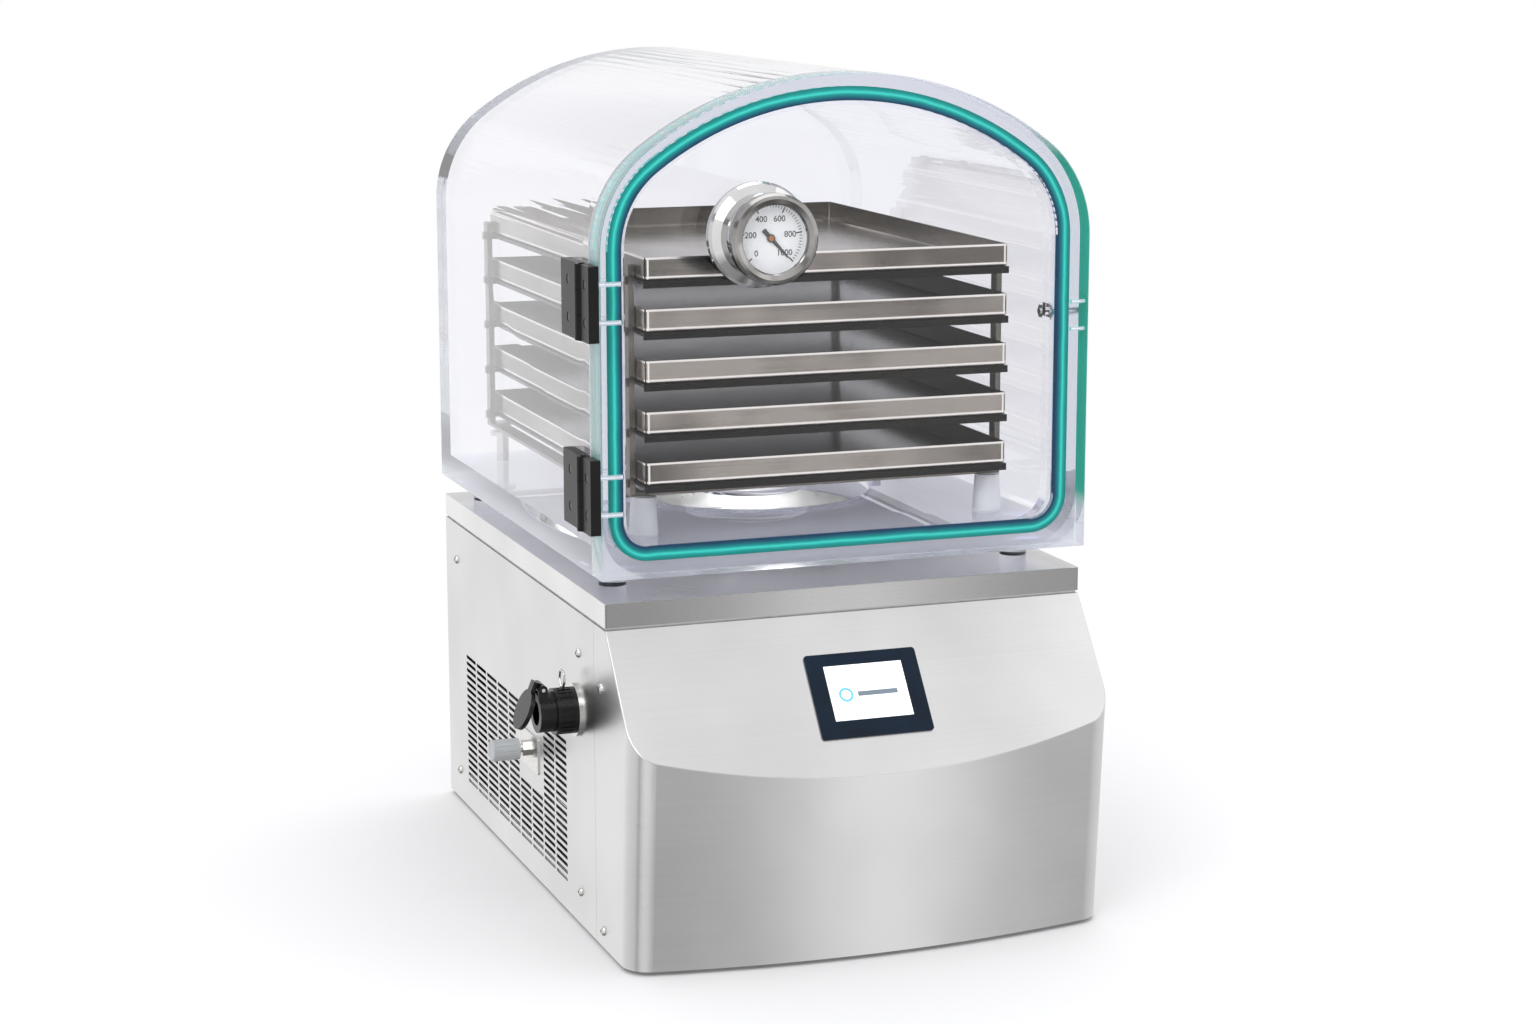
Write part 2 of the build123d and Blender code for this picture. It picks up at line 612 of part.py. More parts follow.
def evaporator_jacket():
    """Roll-formed refrigerant jacket round the vessel, with three swollen channels."""
    inner = VESSEL_R + VESSEL_T
    points = [(inner, VESSEL_BASE + 12), (inner + 2, VESSEL_BASE + 12)]
    pitch = (VESSEL_DEPTH - 48) / 3
    for index in range(3):
        z = VESSEL_BASE + 20 + index * pitch
        points += [(inner + 2, z), (inner + JACKET_T, z + 6), (inner + JACKET_T, z + pitch - 18)]
        points += [(inner + 2, z + pitch - 12)]
    points += [(inner + 2, VESSEL_BASE + 20 + 3 * pitch), (inner, VESSEL_BASE + 20 + 3 * pitch)]
    jacket = turned(points)
    return jacket - rod_y(-ENTRY_X, -FOAM_R, -60, PORT_Z, PIPE_R + 1)


def vessel_insulation():
    """Foam round the vessel and its jacket."""
    inner = VESSEL_R + VESSEL_T + JACKET_T
    top = LID_TOP - LID_EDGE - 4
    foam = turned([
        (0, VESSEL_BASE - FOAM_BASE), (FOAM_R, VESSEL_BASE - FOAM_BASE), (FOAM_R, top),
        (inner, top), (inner, VESSEL_BASE), (0, VESSEL_BASE),
    ])
    foam -= rod_z(0, 0, 0, VESSEL_BASE + 5, DRAIN_R + FIT)
    return foam - rod_y(-ENTRY_X, -FOAM_R - 5, -60, PORT_Z, PIPE_R + FIT)


def vacuum_pipe():
    """Pipe from the vessel's side to the vacuum port."""
    path = FilletPolyline(
        (-HALF_W + 12, PORT_Y, PORT_Z), (-ENTRY_X, PORT_Y, PORT_Z), (-ENTRY_X, -60, PORT_Z),
        radius=26)
    ring = Plane(path @ 0, z_dir=path % 0) * Circle(PIPE_R)
    bore = Plane(path @ 0, z_dir=path % 0) * Circle(PIPE_R - 1.5)
    pipe = sweep(ring, path) - sweep(bore, path)
    return pipe - rod_z(0, 0, 0, 2 * LID_TOP, VESSEL_R + VESSEL_T)


def drain_pipe():
    """Thin pipe from under the vessel, round the coil, to the drain valve."""
    z_low = VESSEL_BASE - FOAM_BASE - 14
    x_valve = -HALF_W + 10
    path = FilletPolyline(
        (0, 0, VESSEL_BASE), (0, 0, z_low), (0, -COIL_SIDE, z_low), (x_valve, -COIL_SIDE, z_low),
        (x_valve, DRAIN_Y - 20, z_low), (x_valve, DRAIN_Y - 20, DRAIN_Z),
        (x_valve, DRAIN_Y - 6, DRAIN_Z),
        radius=7)
    return sweep(Plane(path @ 0, z_dir=path % 0) * Circle(3.0), path)


COIL_SIDE = 170.0


def condenser_coil():
    """Finned air-cooled coil behind the slots."""
    x0 = COIL_X
    x1 = COIL_X + COIL_T
    pitch = (COIL_Y[1] - COIL_Y[0] - 4) / FIN_COUNT
    web = block(x0 + 10, x1 - 10, COIL_Y[0], COIL_Y[1], COIL_Z[0], COIL_Z[1])
    ends = [block(x0, x1, y, y + 2, *COIL_Z) for y in (COIL_Y[0], COIL_Y[1] - 2)]
    fins = [
        block(x0, x1, y, y + 1.2, COIL_Z[0] + 3, COIL_Z[1] - 3)
        for y in (COIL_Y[0] + 2 + pitch * (index + 0.5) for index in range(FIN_COUNT))
    ]
    legs = [block(x0 + 4, x1 - 4, y, y + 12, PAN_TOP, COIL_Z[0])
            for y in (COIL_Y[0], COIL_Y[1] - 12)]
    return fused([web] + ends + fins + legs)


FAN_X = COIL_X + COIL_T + 2.0
FAN_Z = (COIL_Z[0] + COIL_Z[1]) / 2


def fan_shroud():
    """Plate on the coil with a round mouth for each fan."""
    plate = block(COIL_X + COIL_T, FAN_X, COIL_Y[0], COIL_Y[1], *COIL_Z)
    for y in FAN_Y:
        plate -= rod_x(COIL_X, FAN_X + 5, y, FAN_Z, FAN_SIZE / 2 - 3)
    return plate


def fan_housing():
    """Square fan frames with their motor hubs on struts."""
    shapes = []
    far = FAN_X + FAN_T
    for y in FAN_Y:
        frame = block(FAN_X, far, y - FAN_SIZE / 2, y + FAN_SIZE / 2,
                      FAN_Z - FAN_SIZE / 2, FAN_Z + FAN_SIZE / 2)
        frame -= rod_x(FAN_X - 1, far + 1, y, FAN_Z, FAN_SIZE / 2 - 3)
        hub = rod_x(far - 4, far, y, FAN_Z, FAN_HUB_R)
        struts = [block(far - 3, far, y - FAN_SIZE / 2 + 1, y + FAN_SIZE / 2 - 1,
                        FAN_Z - 2, FAN_Z + 2),
                  block(far - 3, far, y - 2, y + 2,
                        FAN_Z - FAN_SIZE / 2 + 1, FAN_Z + FAN_SIZE / 2 - 1)]
        shaft = rod_x(FAN_X + 5, far - 3, y, FAN_Z, 2.5)
        shapes.append(fused([frame, hub, shaft] + struts))
    return group(shapes)


def fan_rotor(y):
    """Hub and pitched blades of one fan."""
    near = FAN_X + 2
    length = FAN_T - 8
    hub = rod_x(near, near + length, y, FAN_Z, FAN_HUB_R)
    blades = []
    for index in range(FAN_BLADES):
        blade = Pos(near + length / 2, y, FAN_Z) * Rot(360 / FAN_BLADES * index, 0, 0)
        reach = FAN_SIZE / 2 - 6
        blade *= Pos(0, 0, (reach + FAN_HUB_R - 2) / 2) * Rot(0, 0, 35)
        blades.append(blade * Box(1.6, 24, reach - FAN_HUB_R + 2))
    rotor = fused([hub] + blades)
    return rotor - rod_x(near - 1, FAN_X + FAN_T, y, FAN_Z, 2.5 + RUN)


COMPRESSOR_Y = REAR_Y - 62.0


def compressor():
    """Hermetic compressor on its foot plate."""
    shell = Pos(0, 0, 14) * Box(180, 104, 140, align=LOW)
    shell = fillet(shell.edges().filter_by(Axis.Z), 46)
    shell = fillet(shell.edges().group_by(Axis.Z)[-1], 34)
    plate = Pos(0, 0, 12) * Box(210, 90, 3, align=LOW)
    stub = Pos(80, 0, 60) * Rot(0, 90, 0) * Cylinder(5, 30, align=LOW)
    unit = Pos(COMPRESSOR_X, COMPRESSOR_Y, PAN_TOP) * fused([shell, plate, stub])
    return unit


def compressor_grommets():
    """Rubber mounts under the compressor's foot plate."""
    grommet = Cylinder(9, 12, align=LOW)
    places = [(x, y) for x in (-95, 95) for y in (-34, 34)]
    return group([Pos(COMPRESSOR_X + x, COMPRESSOR_Y + y, PAN_TOP) * grommet for x, y in places])


def power_supply():
    """Power and control electronics in a box on the base pan."""
    case = block(-60, 110, FRONT_Y - 30, FRONT_Y + 55, PAN_TOP, PAN_TOP + 60)
    case = fillet(case.edges().filter_by(Axis.Z), 3)
    for index in range(8):
        y = FRONT_Y - 22 + index * 10
        case -= block(-40, 90, y, y + 3, PAN_TOP + 56, PAN_TOP + 61)
    return case


# ---- drying chamber --------------------------------------------------------
def arch(inset, bottom, corner=0):
    """Arched outline: upright sides under a three-centred crown, drawn in by `inset`."""
    half = CHAMBER_HALF - inset
    turn = math.degrees(math.atan2(CROWN_DROP, SIDE_C))
    side_r = ARCH_SIDE_R - inset
    face = make_face([
        CenterArc((SIDE_C, SPRING_Z), side_r, 0, turn),
        CenterArc((0, SPRING_Z - CROWN_DROP), ARCH_CROWN_R - inset, turn, 180 - 2 * turn),
        CenterArc((-SIDE_C, SPRING_Z), side_r, 180 - turn, turn),
        Line((-half, SPRING_Z), (-half, bottom)),
        Line((-half, bottom), (half, bottom)),
        Line((half, bottom), (half, SPRING_Z)),
    ])
    if corner:
        face = fillet(face.vertices().group_by(Axis.Y)[0], corner)
    return face


def slab(face, y0, y1):
    """An upright plate with the given outline, from y0 to y1."""
    return extrude(Plane.XZ.offset(-y1) * face, y1 - y0)


def chamber_shell():
    """Tunnel-shaped wall of the chamber."""
    outer = slab(arch(0, CHAMBER_Z), FRAME_BACK, REAR_Y - BACK_T)
    inner = slab(arch(WALL, CHAMBER_Z - 1), FRAME_BACK - 1, REAR_Y)
    shell = outer - inner
    for z in HINGE_Z:
        for up in (-HINGE_SCREW_UP, HINGE_SCREW_UP):
            shell -= hinge_hole(FRAME_SCREW_Y, z + up)
    return shell - rod_x(0, CHAMBER_HALF + 5, KEEPER_Y, CATCH_Z, 3 + FIT)


def chamber_floor():
    """Thick floor with the round mouth of the ice condenser."""
    side = CHAMBER_HALF - WALL
    floor = block(-side, side, FRAME_BACK, REAR_Y - BACK_T, CHAMBER_Z, FLOOR_TOP)
    floor -= rod_z(0, 0, CHAMBER_Z - 1, FLOOR_TOP + 1, MOUTH_R)
    return floor


def chamber_back():
    """Flat rear wall of the chamber."""
    return slab(arch(0, CHAMBER_Z), REAR_Y - BACK_T, REAR_Y)


def front_frame():
    """Sealing frame round the chamber's opening."""
    frame = slab(arch(0, CHAMBER_Z), FRAME_FRONT, FRAME_BACK)
    return frame - slab(arch(FRAME_LAND, FLOOR_TOP, OPENING_R), FRAME_FRONT - 1, FRAME_BACK + 1)


def collar_seal():
    """Flat ring seal between the collar and the chamber's floor."""
    inner = MOUTH_R + 2
    outer = COLLAR_R - 2
    low = CHAMBER_Z - SEAL_T
    return turned([(inner, low), (outer, low), (outer, CHAMBER_Z), (inner, CHAMBER_Z)])


PAD_R = 12.0
PAD_X = 190.0
PAD_Y = (FRAME_BACK + 33.0, REAR_Y - 45.0)


def chamber_pads():
    """Four clear spacers under the chamber's corners."""
    return group([rod_z(x, y, LID_TOP, CHAMBER_Z, PAD_R) for x in (-PAD_X, PAD_X) for y in PAD_Y])


# ---- door ------------------------------------------------------------------
def gasket_band(depth0, depth1):
    """The gasket's closed band, between two depths."""
    outer = arch(GASKET_INSET, CHAMBER_Z + GASKET_INSET, GASKET_R)
    inset = GASKET_INSET + GASKET_W
    inner = arch(inset, CHAMBER_Z + inset, GASKET_R - GASKET_W)
    return slab(outer, depth0, depth1) - slab(inner, depth0 - 1, depth1 + 1)


def door_panel():
    """Thick clear door with the gasket's groove and the gauge's hole."""
    door = slab(arch(0, CHAMBER_Z), DOOR_FRONT, DOOR_BACK)
    front = door.faces().sort_by(Axis.Y)[0]
    door = chamfer(front.edges(), 1.0)
    door -= gasket_band(DOOR_BACK - GASKET_DEEP, DOOR_BACK + 1)
    door -= rod_y(GAUGE_X, DOOR_FRONT - 1, DOOR_BACK + 1, GAUGE_Z, STEM_R + FIT)
    for z in HINGE_Z:
        for up in (-HINGE_SCREW_UP, HINGE_SCREW_UP):
            door -= hinge_hole(DOOR_SCREW_Y, z + up)
    for up in (-12, 12):
        door -= rod_x(CHAMBER_HALF - 14, CHAMBER_HALF + 1, DOOR_SCREW_Y, CATCH_Z + up, 1.6)
    return door


def door_gasket():
    """Silicone gasket in the door's groove."""
    return gasket_band(DOOR_BACK - GASKET_DEEP, FRAME_FRONT - SEAL_GAP)


# ---- hinges ----------------------------------------------------------------
KNUCKLES = (-HINGE_H / 2, -HINGE_H / 6, HINGE_H / 6, HINGE_H / 2)
DOOR_SCREW_Y = HINGE_Y - 18.0
FRAME_SCREW_Y = HINGE_Y + 30.0


def hinge_hole(y, z):
    """Hole for one hinge screw in the chamber's or the door's edge."""
    return rod_x(-CHAMBER_HALF - 1, -CHAMBER_HALF + HINGE_SCREW_L, y, z, HINGE_SCREW_R)


def hinge_leaf(side, width, spans):
    """Moulded leaf: plate, webs and knuckles. side is 1 to the back, -1 to the front."""
    x0 = -CHAMBER_HALF - LEAF_T
    x1 = -CHAMBER_HALF
    near = KNUCKLE_R + 0.6
    ys = sorted((HINGE_Y + side * near, HINGE_Y + side * width))
    half = HINGE_H / 2
    leaf = block(x0, x1, *ys, -half, half)
    leaf = fillet(leaf.edges().filter_by(Axis.X), 1.5)
    shapes = [leaf]
    for low, high in spans:
        web = sorted((HINGE_Y, HINGE_Y + side * (near + 2)))
        shapes.append(block(x0, x1 - FIT, *web, low, high))
        shapes.append(rod_z(HINGE_X, HINGE_Y, low, high, KNUCKLE_R))
    leaf = fused(shapes) - rod_z(HINGE_X, HINGE_Y, -HINGE_H, HINGE_H, HINGE_PIN_R + RUN)
    screw_y = DOOR_SCREW_Y if side < 0 else FRAME_SCREW_Y
    for up in (-HINGE_SCREW_UP, HINGE_SCREW_UP):
        leaf -= rod_x(x0 - 1, x1 + 1, screw_y, up, HINGE_SCREW_R)
        leaf -= rod_x(x0 - 1, x0 + 2.4, screw_y, up, 2 * HINGE_SCREW_R)
    return leaf


def frame_hinge_leaves():
    """Leaves on the chamber, with the two outer knuckles."""
    spans = [(KNUCKLES[0], KNUCKLES[1] - FIT), (KNUCKLES[2] + FIT, KNUCKLES[3])]
    return group([Pos(0, 0, z) * hinge_leaf(1, FRAME_LEAF_W, spans) for z in HINGE_Z])


def door_hinge_leaves():
    """Leaves on the door, with the middle knuckle."""
    spans = [(KNUCKLES[1], KNUCKLES[2])]
    return group([Pos(0, 0, z) * hinge_leaf(-1, DOOR_LEAF_W, spans) for z in HINGE_Z])


def hinge_pins():
    """Steel pins, one in each hinge."""
    half = HINGE_H / 2 + 0.8
    return group([rod_z(HINGE_X, HINGE_Y, z - half, z + half, HINGE_PIN_R) for z in HINGE_Z])


def hinge_screws(y):
    """Screws through the leaves of both hinges."""
    head = 2 * HINGE_SCREW_R - FIT
    x0 = -CHAMBER_HALF - LEAF_T + 0.4
    screws = []
    for z in HINGE_Z:
        for up in (-HINGE_SCREW_UP, HINGE_SCREW_UP):
            shank = rod_x(x0, -CHAMBER_HALF + HINGE_SCREW_L - 1, y, z + up, HINGE_SCREW_R)
            screws.append(shank + rod_x(x0, x0 + 2, y, z + up, head))
    return group(screws)


# ---- catch -----------------------------------------------------------------
KEEPER_Y = FRAME_BACK + 8.0
STRAP_T = 1.2


def catch_strap():
    """Spring strap on the door's edge, curled past the keeper."""
    x0 = CHAMBER_HALF + FIT
    x1 = x0 + STRAP_T
    end = KEEPER_Y + 7
    strap = block(x0, x1, DOOR_FRONT + 5, end, CATCH_Z - 6, CATCH_Z + 6)
    plate = block(x0, x1, DOOR_FRONT + 5, DOOR_BACK - 3, CATCH_Z - 18, CATCH_Z + 18)
    hook = block(x0, x0 + 5, end - STRAP_T, end, CATCH_Z - 6, CATCH_Z + 6)
    shape = fused([strap, plate, hook])
    shape -= rod_x(x0 - 1, x1 + 9, KEEPER_Y, CATCH_Z, 3.6)
    for up in (-12, 12):
        shape -= rod_x(x0 - 1, x1 + 1, DOOR_SCREW_Y, CATCH_Z + up, 1.6)
    return shape


def catch_screws():
    """Two screws that hold the strap to the door's edge."""
    face = CHAMBER_HALF + FIT + STRAP_T
    screws = []
    for up in (-12, 12):
        shank = rod_x(CHAMBER_HALF - 13, face, DOOR_SCREW_Y, CATCH_Z + up, 1.6)
        screws.append(shank + rod_x(face, face + 1.6, DOOR_SCREW_Y, CATCH_Z + up, 3.4))
    return group(screws)


def catch_keeper():
    """Keeper stud through the chamber's wall, with its nut inside."""
    inner = CHAMBER_HALF - WALL
    stud = rod_x(inner - 8, CHAMBER_HALF + FIT + STRAP_T - 0.4, KEEPER_Y, CATCH_Z, 3)
    washer = rod_x(inner - 1.5, inner, KEEPER_Y, CATCH_Z, 8)
    nut = Plane.YZ.offset(inner - 1.5) * Pos(KEEPER_Y, CATCH_Z) * RegularPolygon(6.4, 6)
    nut = extrude(nut, -5)
    return fused([stud, washer, nut])


# ---- vacuum gauge ----------------------------------------------------------
def gauge_place(shape):
    """Sets a part turned about Z onto the door, facing forward."""
    return Pos(GAUGE_X, DOOR_FRONT, GAUGE_Z) * Rot(90, 0, 0) * shape


def gauge_case():
    """Polished case with its flared back ring, and the stem through the door."""
    body = GAUGE_BEZEL_R - 2
    return gauge_place(turned([
        (0, 3), (0, -DOOR_T), (STEM_R, -DOOR_T), (STEM_R, 0), (GAUGE_RING_R - 1, 0),
        (GAUGE_RING_R, 1), (GAUGE_RING_R, 7), (GAUGE_RING_R - 2, 9.5), (body, 14),
        (body, GAUGE_FRONT - 12), (body - 3, GAUGE_FRONT - 12), (body - 3, 18), (4, 18), (4, 3),
    ]) - Pos(0, 0, 3) * Cylinder(4, 15, align=LOW))


def gauge_bezel():
    """Rolled bezel ring on the front of the case."""
    low = GAUGE_FRONT - 12
    return gauge_place(turned([
        (DIAL_R, low + 5), (GAUGE_BEZEL_R - 4, low + 2), (GAUGE_BEZEL_R - 4, low),
        (GAUGE_BEZEL_R - 2, low), (GAUGE_BEZEL_R, low + 1), (GAUGE_BEZEL_R, low + 8),
        (GAUGE_BEZEL_R - 2, GAUGE_FRONT - 1), (GAUGE_BEZEL_R - 4.5, GAUGE_FRONT),
        (DIAL_R + 1, GAUGE_FRONT - 2), (DIAL_R, GAUGE_FRONT - 3),
    ]))


DIAL_Z = GAUGE_FRONT - 16


def gauge_dial():
    """Dial plate, seated in the case on the movement's boss."""
    plate = Pos(0, 0, DIAL_Z - 1) * Cylinder(GAUGE_BEZEL_R - 5.3, 1, align=LOW)
    boss = Pos(0, 0, 18) * Cylinder(14, DIAL_Z - 19, align=LOW)
    spindle = Pos(0, 0, DIAL_Z - 1) * Cylinder(1, 4, align=LOW)
    return gauge_place(fused([plate, boss, spindle]))


def gauge_lens():
    """Flat window, held by the bezel."""
    disc = Pos(0, 0, GAUGE_FRONT - 6.8) * Cylinder(DIAL_R - FIT, 2, align=LOW)
    return gauge_place(disc)


POINTER_REST = -47.0


def gauge_pointer():
    """Tapered pointer with its counterweight, on the dial's spindle."""
    needle = make_face(Polyline((-9, -1.6), (0, -1.4), (22, -0.35), (22, 0.35), (0, 1.4),
                                (-9, 1.6), close=True))
    shape = extrude(needle, 0.6) + Cylinder(3, 1.4, align=LOW)
    shape -= Cylinder(1 + RUN, 5)
    return gauge_place(Pos(0, 0, DIAL_Z + 0.8) * Rot(0, 0, POINTER_REST) * shape)


def gauge_nut():
    """Hexagonal nut on the gauge's stem, inside the door."""
    nut = Plane.XZ.offset(-DOOR_BACK) * Pos(GAUGE_X, GAUGE_Z) * RegularPolygon(12, 6)
    return extrude(nut, -6) - rod_y(GAUGE_X, DOOR_BACK - 1, DOOR_BACK + 7, GAUGE_Z, 3)


# ---- rack, shelves and trays -----------------------------------------------
def tray_floor(index):
    """Height of one tray's underside. Tray 1 is the top one."""
    return RACK_Z + TRAY_UP + (TRAY_COUNT - index) * TRAY_PITCH


def folded(shape, radius):
    """Rounds a block's upright edges and the edges of its underside."""
    return fillet(shape.edges().filter_by(Axis.Z) + shape.edges().group_by(Axis.Z)[0], radius)


def tray(index):
    """Folded stainless tray."""
    z = tray_floor(index)
    half = TRAY_W / 2
    pan = block(-half, half, TRAY_FRONT, TRAY_BACK, z, z + TRAY_H)
    inner = block(-half + TRAY_T, half - TRAY_T, TRAY_FRONT + TRAY_T, TRAY_BACK - TRAY_T,
                  z + TRAY_T, z + TRAY_H + 1)
    return folded(pan, TRAY_R) - folded(inner, TRAY_R - TRAY_T)


def shelf(index):
    """Shelf plate under a tray, with its front and rear edges turned down."""
    top = tray_floor(index)
    plate = block(-SHELF_HALF, SHELF_HALF, TRAY_FRONT, TRAY_BACK, top - SHELF_T, top)
    lips = [
        block(-SHELF_HALF, SHELF_HALF, y, y + SHELF_T, top - 6, top)
        for y in (TRAY_FRONT, TRAY_BACK - SHELF_T)
    ]
    return fused([plate] + lips)


def shelf_heaters():
    """Black heater mats, one bonded under each shelf."""
    half = SHELF_HALF - 4
    mats = []
    for index in range(1, TRAY_COUNT + 1):
        top = tray_floor(index) - SHELF_T
        mats.append(block(-half, half, TRAY_FRONT + 5, TRAY_BACK - 5, top - HEATER_T, top))
    return group(mats)


def rack_frame():
    """Four posts with a hook at each shelf, on a bottom frame."""
    outer = SHELF_HALF + POST_W
    low = RACK_Z
    top = tray_floor(1) + POST_UP
    shapes = []
    for y in POST_Y:
        shapes += mirrored(block(SHELF_HALF, outer, y, y + POST_D, low, top))
        shapes.append(block(-outer, outer, y, y + POST_D, low, low + 3))
        for index in range(1, TRAY_COUNT + 1):
            z = tray_floor(index) - SHELF_T
            shapes += mirrored(block(outer, outer + 2.5, y + 3, y + 9, z - 4, z + 3))
    shapes += mirrored(block(outer - 14, outer, POST_Y[0], TRAY_BACK, low, low + 3))
    return fused(shapes)


RACK_FOOT_X = 162.0


def rack_feet():
    """White feet under the front of the rack."""
    y = POST_Y[0]
    foot = turned([(0, 0), (12, 0), (13, 2), (11, RACK_FOOT), (0, RACK_FOOT)])
    return group([Pos(x, y, FLOOR_TOP) * foot for x in (-RACK_FOOT_X, RACK_FOOT_X)])


def rack_studs():
    """Steel studs with a wide washer under the rear of the rack."""
    y = POST_Y[1]
    stud = turned([(0, 0), (6, 0), (6, RACK_FOOT - 10), (12, RACK_FOOT - 9),
                   (12, RACK_FOOT - 5), (5, RACK_FOOT - 4), (5, RACK_FOOT), (0, RACK_FOOT)])
    return group([Pos(x, y, FLOOR_TOP) * stud for x in (-RACK_FOOT_X, RACK_FOOT_X)])


BRIDGE_T = 5.0
SPACER_H = 14.0


def baffle_bridge():
    """Clear bar with a round middle, laid across the condenser's mouth."""
    bar = block(-MOUTH_R - 14, MOUTH_R + 14, -16, 16, FLOOR_TOP, FLOOR_TOP + BRIDGE_T)
    return bar + rod_z(0, 0, FLOOR_TOP, FLOOR_TOP + BRIDGE_T, BAFFLE_R - 6)


def baffle_plate():
    """Round clear baffle over the condenser's mouth."""
    low = FLOOR_TOP + BRIDGE_T + SPACER_H
    disc = rod_z(0, 0, low, low + 4, BAFFLE_R)
    return chamfer(disc.edges().group_by(Axis.Z)[-1], 0.8)


def baffle_spacers():
    """Three spacers between the bridge and the baffle."""
    low = FLOOR_TOP + BRIDGE_T
    posts = []
    for index in range(3):
        angle = math.radians(90 + 120 * index)
        x = 40 * math.cos(angle)
        y = 40 * math.sin(angle)
        posts.append(rod_z(x, y, low, low + SPACER_H, 5))
    return group(posts)


# ---- the nodes -------------------------------------------------------------
def build():
    """Every node's name and shape."""
    nodes = {
        "base_pan": base_pan(),
        "feet": feet(),
        "inner_frame": inner_frame(),
        "left_side_panel": left_side_panel(),
        "right_side_panel": side_panel(1),
        "rear_panel": rear_panel(),
        "front_cover": front_cover(),
        "top_plate": top_plate(),
        "panel_screws": panel_screws(),
        "screen_housing": screen_housing(),
        "screen_display": screen_display(),
        "vacuum_port_flange": vacuum_port_flange(),
        "vacuum_port_collar": vacuum_port_collar(),
        "vacuum_port_body": vacuum_port_body(),
        "vacuum_port_cap": vacuum_port_cap(),
        "vacuum_port_clip": group([vacuum_port_clip(), vacuum_port_pin()]),
        "drain_valve": group([drain_plate(), drain_valve()]),
        "drain_knob": drain_knob(),
        "mains_inlet": mains_inlet(),
        "switch_body": switch_body(),
        "switch_rocker": switch_rocker(),
        "condenser_vessel": condenser_vessel(),
        "evaporator_jacket": evaporator_jacket(),
        "vessel_insulation": vessel_insulation(),
        "pipework": group([vacuum_pipe(), drain_pipe()]),
        "condenser_coil": condenser_coil(),
        "fan_housing": group([fan_shroud(), fan_housing()]),
        "fan_rotor_front": fan_rotor(FAN_Y[0]),
        "fan_rotor_rear": fan_rotor(FAN_Y[1]),
        "compressor": group([compressor(), compressor_grommets()]),
        "power_supply": power_supply(),
        "chamber_shell": chamber_shell(),
        "chamber_floor": chamber_floor(),
        "chamber_back": chamber_back(),
        "front_frame": front_frame(),
        "chamber_pads": group([collar_seal(), chamber_pads()]),
        "door_panel": door_panel(),
        "door_gasket": door_gasket(),
        "frame_hinge_leaves": frame_hinge_leaves(),
        "door_hinge_leaves": door_hinge_leaves(),
        "frame_hinge_pins": group([hinge_pins(), hinge_screws(FRAME_SCREW_Y)]),
        "door_screws": group([hinge_screws(DOOR_SCREW_Y), catch_screws()]),
        "catch_strap": catch_strap(),
        "catch_keeper": catch_keeper(),
        "gauge_case": group([gauge_case(), gauge_nut()]),
        "gauge_bezel": gauge_bezel(),
        "gauge_dial": gauge_dial(),
        "gauge_lens": gauge_lens(),
        "gauge_pointer": gauge_pointer(),
        "shelf_heaters": shelf_heaters(),
        "rack_frame": rack_frame(),
        "rack_feet": rack_feet(),
        "rack_studs": rack_studs(),
        "baffle": group([baffle_bridge(), baffle_spacers(), baffle_plate()]),
        "shelves": group([shelf(index) for index in range(1, TRAY_COUNT + 1)]),
    }
    for index in range(1, TRAY_COUNT + 1):
        nodes[f"tray_{index}"] = tray(index)
    return nodes


os.makedirs("parts", exist_ok=True)
home = Pos(-ORIGIN_X, -ORIGIN_Y, 0)
for name, shape in build().items():
    export_step(home * shape, f"parts/{name}.step")
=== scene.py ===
import math

import bpy
from mathutils import Euler, Matrix, Vector


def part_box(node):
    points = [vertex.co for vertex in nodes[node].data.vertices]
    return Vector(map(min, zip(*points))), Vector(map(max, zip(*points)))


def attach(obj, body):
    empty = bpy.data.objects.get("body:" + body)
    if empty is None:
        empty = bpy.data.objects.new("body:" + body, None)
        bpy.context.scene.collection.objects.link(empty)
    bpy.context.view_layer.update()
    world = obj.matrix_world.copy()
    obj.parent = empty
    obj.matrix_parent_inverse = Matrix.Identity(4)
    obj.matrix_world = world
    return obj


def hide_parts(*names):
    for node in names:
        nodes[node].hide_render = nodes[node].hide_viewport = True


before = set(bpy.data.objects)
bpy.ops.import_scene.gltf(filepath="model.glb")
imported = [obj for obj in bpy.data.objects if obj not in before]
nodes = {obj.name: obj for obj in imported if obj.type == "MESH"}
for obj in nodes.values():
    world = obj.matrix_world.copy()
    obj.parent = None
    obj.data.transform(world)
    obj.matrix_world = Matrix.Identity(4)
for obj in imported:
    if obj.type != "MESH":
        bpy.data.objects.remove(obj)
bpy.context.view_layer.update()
bpy.ops.object.select_all(action="DESELECT")

# ---- sizes, in metres unless a comment gives another unit -------------------
MM = 0.001
LID_LOW, LID_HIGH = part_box("top_plate")
MIDDLE = Vector(((LID_LOW.x + LID_HIGH.x) / 2, (LID_LOW.y + LID_HIGH.y) / 2, 0))


def place(x, y, z):
    """A point in metres, given in millimetres from the table under the middle of the lid."""
    return MIDDLE + Vector((x, y, z)) * MM


# The arched outline that the chamber and the door share: upright sides, two tight arcs at
# the shoulders and one wide arc across the crown. Heights are above the table.
SHARED_HALF = 223 * MM
SHARED_LOW = 330 * MM
SPRING = place(0, 0, 605)
SHOULDER_R = 105 * MM
SHOULDER_OUT = SHARED_HALF - SHOULDER_R
CROWN_R = 302 * MM
CROWN_DROP = math.sqrt((CROWN_R - SHOULDER_R) ** 2 - SHOULDER_OUT ** 2)
# A face that lies less than this inside the outline belongs to the door's rim.
RIM_SKIN = 0.8 * MM
GASKET_INSET = 12 * MM
GASKET_W = 12 * MM
GASKET_CORNER = GASKET_INSET + 34 * MM

